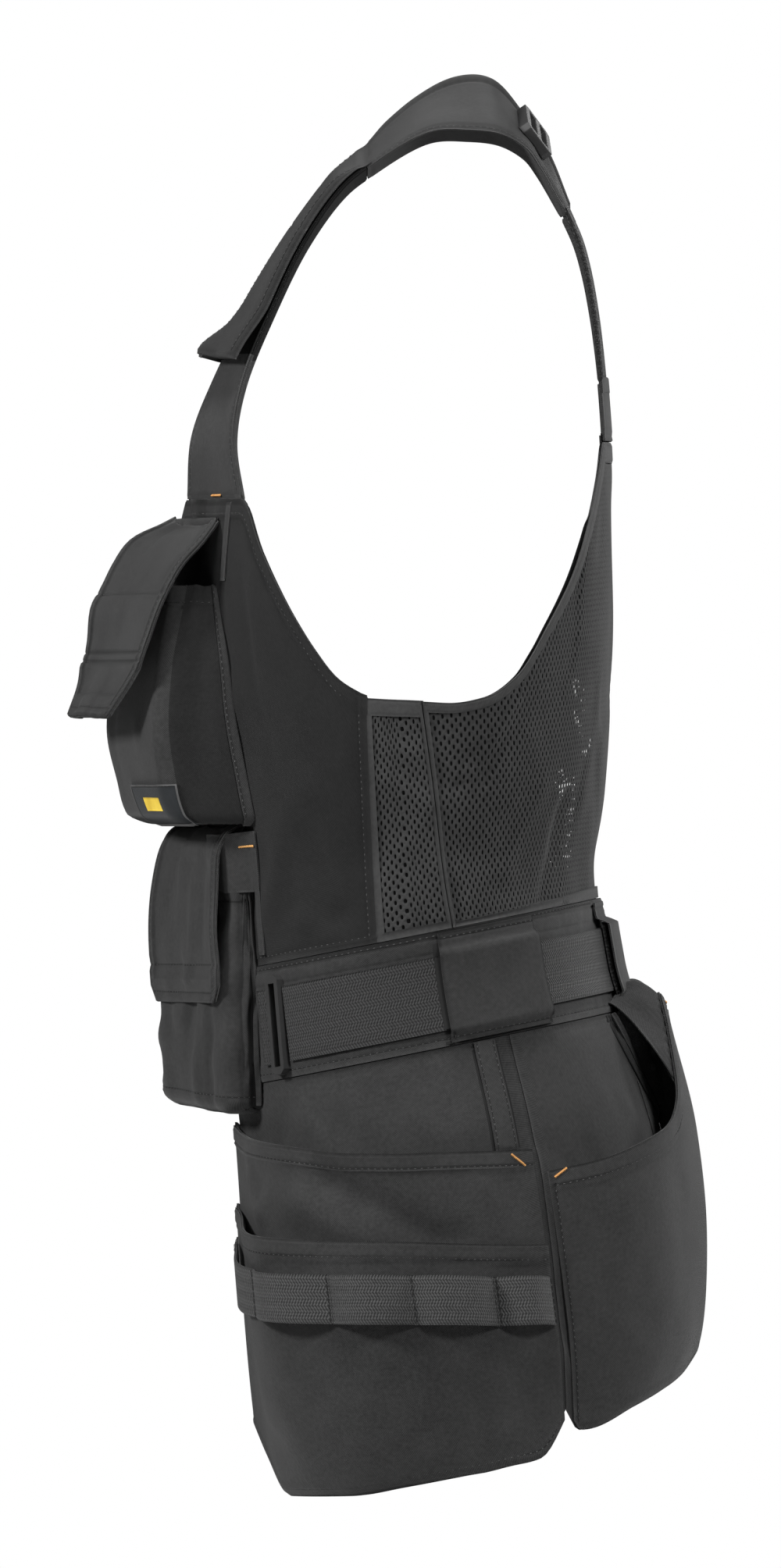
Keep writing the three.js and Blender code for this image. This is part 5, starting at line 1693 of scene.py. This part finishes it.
def sew_pocket(name, place, start, end):
    angles = go(start, end)
    sew(name, angles, from_top(place, angles, HEM_STITCH))
    sew(name, angles, from_foot(place, angles, FOOT_STITCH))


angles = go(19, 83)
sew("front_panel_cloth_left", angles, from_top(front_panel, angles, 0.0075))
angles = go(4, 83)
sew("front_panel_cloth_left", angles, from_foot(front_panel, angles, 0.004))
sew("front_panel_cloth_left", SIDE_FRONT - 1.4, np.linspace(0.02, 0.96, 60))
angles = go(4, 157)
for distance in (0.0035, 0.0575):
    sew("waistband_cloth_left", angles, from_foot(band_side, angles, distance))
for angle in (TUNNEL[0] + 0.8, TUNNEL[1] - 0.8):
    sew("belt_tunnel_cloth_left", angle, np.linspace(0.02, 0.1, 20))
for share in (0.045, 0.955):
    sew("belt_tunnel_cloth_left", go(TUNNEL[0] + 0.5, TUNNEL[1] - 0.5), share)
for layer, rim in (("inner", inner_rim), ("outer", outer_rim)):
    sew_pocket(f"holster_{layer}_cloth_left", between(front_hem, rim), HOLSTER[0] + 0.6, HOLSTER[1] - 0.6)
sew_pocket("back_holster_cloth_left", back_pocket, BACK_HOLSTER[0] + 0.6, BACK_HOLSTER[1] - 1)
sew("back_holster_cloth_left", BACK_HOLSTER[0] + 1, np.linspace(0.02, 0.95, 80))
for angle in (TAPE_ANGLE - half_tape * 0.76, TAPE_ANGLE + half_tape * 0.76):
    sew("seam_tape_cloth_left", angle, np.linspace(0.02, 0.98, 40))
for angle in TOOL_STITCHES:
    for off in (-0.35, 0.35):
        at = min(max(angle + off, TOOL_STITCHES[0] + 0.2), TOOL_STITCHES[-1] - 0.2)
        sew("tool_web_left", at, np.linspace(0.05, 0.95, 20))
for name, sides, start, end in (
    ("front_strap", (0.05, 0.95), 0.01, PAD_START),
    ("shoulder", (0.122, 0.965), STRAP_JOINT + 0.01, 0.99),
    ("strap_pad", (0.07, 0.93), PAD_START + 0.008, pad_end - 0.003),
):
    for s in sides:
        sew(f"{name}_cloth_left", s, np.linspace(start, end, 160))
for channel in PAD_CHANNELS:
    t = pad_end - (pad_end - PAD_START) * channel / PAD_LENGTH
    sew("strap_pad_cloth_left", np.linspace(0.03, 0.97, 40), t)
for kind, face, width, run, lines, inner, cloth in FLAPS:
    name = f"{kind}_flap_cloth_left"
    side, foot = FLAP_STITCH / width, 1 - FLAP_STITCH / run
    for s in (side, 1 - side):
        sew(name, s, np.linspace(0.1, foot, 120))
    sew(name, np.linspace(side, 1 - side, 80), foot)
    for line in lines:
        sew(name, np.linspace(0.06, 0.94, 60), line)
for kind, height in (("chest", CHEST_HEIGHT), ("lower", LOWER_HEIGHT)):
    sew(f"{kind}_pocket_cloth_left", np.linspace(0.02, 0.98, 200), 1 - 0.009 / height)
sew("lower_pocket_cloth_left", np.linspace(0.25, 0.95, 160), 0.006 / LOWER_HEIGHT)
sew("chest_gusset_seam_left", 0.962, np.linspace(0.03, 0.99, 80))
for v in (label_v[0] + border_v, label_v[1] - border_v):
    sew("label_cloth", np.linspace(label_u[0] + 0.012, label_u[1] - 0.012, 60), v, stitch=0.0014)

# Bar tacks in a bright thread where pockets and straps take load
tack("front_strap_cloth_left", 0.5, 0.004, 0.66, 0.004)
tack("lower_seam_flange_left", 47.0, 0.76, 50.2, 0.76)
tack("holster_inner_cloth_left", 102.6, 0.985, 105.4, 0.945)
tack("back_holster_cloth_left", 112.0, 0.972, 114.6, 0.996)
tack("back_holster_cloth_left", 161.6, 0.975, 163.2, 0.965)
# Painted shade: near-black ribbons in the back slits, beside the seam tape, at the tunnel's front edge, over
# the tool web's inner stitches and down the pockets' gussets.
slit = np.linspace(0, 1, 30)
for at, width in ((0.0, 0.004), (1.6, 0.0012)):
    slit_angle = 151 + 12 * slit + at
    slit_z = band_bottom(slit_angle) - 0.001 - 0.052 * slit
    slit_share = (slit_z - back_hem(slit_angle)) / (hip_top(slit_angle) - back_hem(slit_angle))
    crease("hip_back_cloth_left", slit_angle, slit_share, width, 0.0002, 0.2)
for angle in (TAPE_ANGLE - half_tape - 0.25, TAPE_ANGLE + half_tape + 0.25):
    crease("hip_front_cloth_left", angle, np.linspace(0.73, 0.99, 30), 0.0018)
for name in ("belt_web_left", "waistband_cloth_left"):
    crease(name, TUNNEL[0] - 0.5, np.linspace(0.01, 0.99, 20), 0.0036)
crease("waistband_cloth_left", TAPE_ANGLE - 0.5, np.linspace(0.01, 0.12, 20), 0.002)
for angle in TOOL_STITCHES[1:-1]:
    crease("tool_web_left", angle, np.linspace(0.01, 0.99, 20), 0.0022)
crease("chest_pocket_cloth_left", 0.748, np.linspace(0.0, 1, 60), 0.0009)
for u, foot, width in ((0.87, 0.1, 0.003), (0.93, 0.2, 0.002)):
    crease("lower_pocket_cloth_left", u, np.linspace(foot, 0.99, 60), width, 0.0002, 0.3)
# All the ribbons of painted shade as one object.
pair(painted_shade_object("seam_creases_left"), material=painted_shade_dark)
for kind, material in (("plain", thread), ("bright", bright_thread)):
    pair(thread_object(f"stitching_{kind}_left", kind), material=material)


# Moulded parts: the solids' own shapes with their edges rounded
def moulded(node, slot, width=0.0005):
    source = bpy.data.objects[node]
    made = collection_object(f"{node}_moulded", source.data.copy())
    mesh = bmesh.new()
    mesh.from_mesh(made.data)
    bmesh.ops.remove_doubles(mesh, verts=mesh.verts, dist=1e-6)
    bmesh.ops.dissolve_limit(mesh, angle_limit=math.radians(2), verts=mesh.verts, edges=mesh.edges)
    mesh.to_mesh(made.data)
    mesh.free()
    made.data.materials.clear()
    bevel = made.modifiers.new("edges", "BEVEL")
    bevel.width = width
    bevel.segments = 3
    bevel.limit_method = "ANGLE"
    bevel.angle_limit = math.radians(35)
    finish_piece(made, slot, [node])


for side in ("left", "right"):
    moulded(f"strap_buckle_{side}", "plastic", 0.0006)
    moulded(f"belt_ring_{side}", "plastic", 0.0006)
moulded("zip_pull", "zip_metal", 0.0004)

# Zip: two tapes and their teeth
zip_top = float(outline(FRONT_TOP)(0)) - 0.002


def zip_place(angle, share, offset):
    foot = band_bottom(angle)
    return body_point(angle, foot + (zip_top - foot) * share, offset)


zip_half = ZIP_EDGE - SEAM
one(
    "zip_tape", zip_place, stations(-zip_half, zip_half, 0.3), shares(0.012), 0,
    lambda angle, share: CLOTH + 0.0006 * np.exp(-((angle / 0.5) ** 2)),
    "plastic", ["zip"], MATERIALS["shell_fabric"],
)
TEETH = 150
up = np.array([0, 0, 0.00085])  # half a tooth's height
cube = ((0, 1, 2, 3), (7, 6, 5, 4), (0, 4, 5, 1), (1, 5, 6, 2), (2, 6, 7, 3), (3, 7, 4, 0))
blocks, faces = [], []
for k in range(TEETH):
    share = np.full(2, 0.004 + 0.992 * k / (TEETH - 1))
    side = 1 if k % 2 else -1
    ends = np.array([side * 0.9, side * -0.25])
    low, high = (faces_out["zip_tape"](ends, share, rise) for rise in (-0.0002, 0.0012))
    blocks += [
        low[0] - up, low[0] + up, low[1] + up * 0.6, low[1] - up * 0.6,
        high[0] - up * 0.8, high[0] + up * 0.8, high[1] + up * 0.5, high[1] - up * 0.5,
    ]
    faces += [tuple(8 * k + i for i in face) for face in cube]
finish_piece(object_from("zip_teeth", np.stack(blocks), faces, smooth_faces=False), "plastic")

# A plain pale floor, as far under the shoulders as a wearer's feet
FLOOR_DROP = 1.45
FLOOR_HALF = 1.6
corners = [(x * FLOOR_HALF, y * FLOOR_HALF, -FLOOR_DROP) for x, y in ((-1, -1), (1, -1), (1, 1), (-1, 1))]
floor = object_from("floor", corners, [(0, 1, 2, 3)], smooth_faces=False)
floor.data.materials.append(plain_material("pale_floor", grey(0.72), grey(0.76), rough=0.9))

# Light and camera, on plain white
world = bpy.data.worlds.new("studio")
bpy.context.scene.world = world
bpy.context.scene.view_settings.view_transform = "Standard"
world.use_nodes = True
nodes, links = world.node_tree.nodes, world.node_tree.links
backdrop = nodes["Background"]
fill = nodes.new("ShaderNodeBackground")
for source, strength in ((backdrop, 1.0), (fill, 0.16)):
    source.inputs[0].default_value = (1, 1, 1, 1)
    source.inputs[1].default_value = strength
seen = nodes.new("ShaderNodeLightPath")
either = nodes.new("ShaderNodeMixShader")
links.new(seen.outputs["Is Camera Ray"], either.inputs[0])
links.new(fill.outputs[0], either.inputs[1])
links.new(backdrop.outputs[0], either.inputs[2])
links.new(either.outputs[0], nodes["World Output"].inputs[0])


def aim(made, place, direction):
    made.location = place
    made.rotation_mode = "QUATERNION"
    made.rotation_quaternion = Vector(direction).to_track_quat("-Z", "Y")


def lamp(name, place, target, size, power):
    light = bpy.data.lights.new(name, "AREA")
    light.shape = "SQUARE"
    light.size = size
    light.energy = power
    aim(collection_object(name, light), place, Vector(target) - Vector(place))


lamp("key", (1.6, -2.6, 1.1), (0, 0, -0.35), 0.6, 120)
lamp("side", (2.6, 1.4, 1.2), (0, 0, -0.45), 0.6, 72)
lamp("back", (-0.6, 2.6, 1.4), (0, 0, -0.4), 1.2, 44)
lamp("far", (-2.3, 1.7, 0.5), (0, 0, -0.4), 1.2, 26)
lamp("top", (0.9, -0.1, 2.6), (0, 0, -0.2), 0.6, 60)

# The photograph's frame: 1000 by 2008 pixels, with 2.45 of them to a millimetre
PIXEL = 0.001 / 2.45
FRAME_HEIGHT = 2008 * PIXEL
NEAR_PLANE = 0.1  # where the scale holds, on the wearer's left
camera_data = bpy.data.cameras.new("camera")
camera_data.lens = 700
camera_data.sensor_width = 36
camera_data.clip_end = 60
camera = collection_object("camera", camera_data)
far = FRAME_HEIGHT * camera_data.lens / camera_data.sensor_width
aim(camera, (NEAR_PLANE + far, (500 - 600) * PIXEL, (132 - 1004) * PIXEL), (-1, 0, 0))
bpy.context.scene.camera = camera
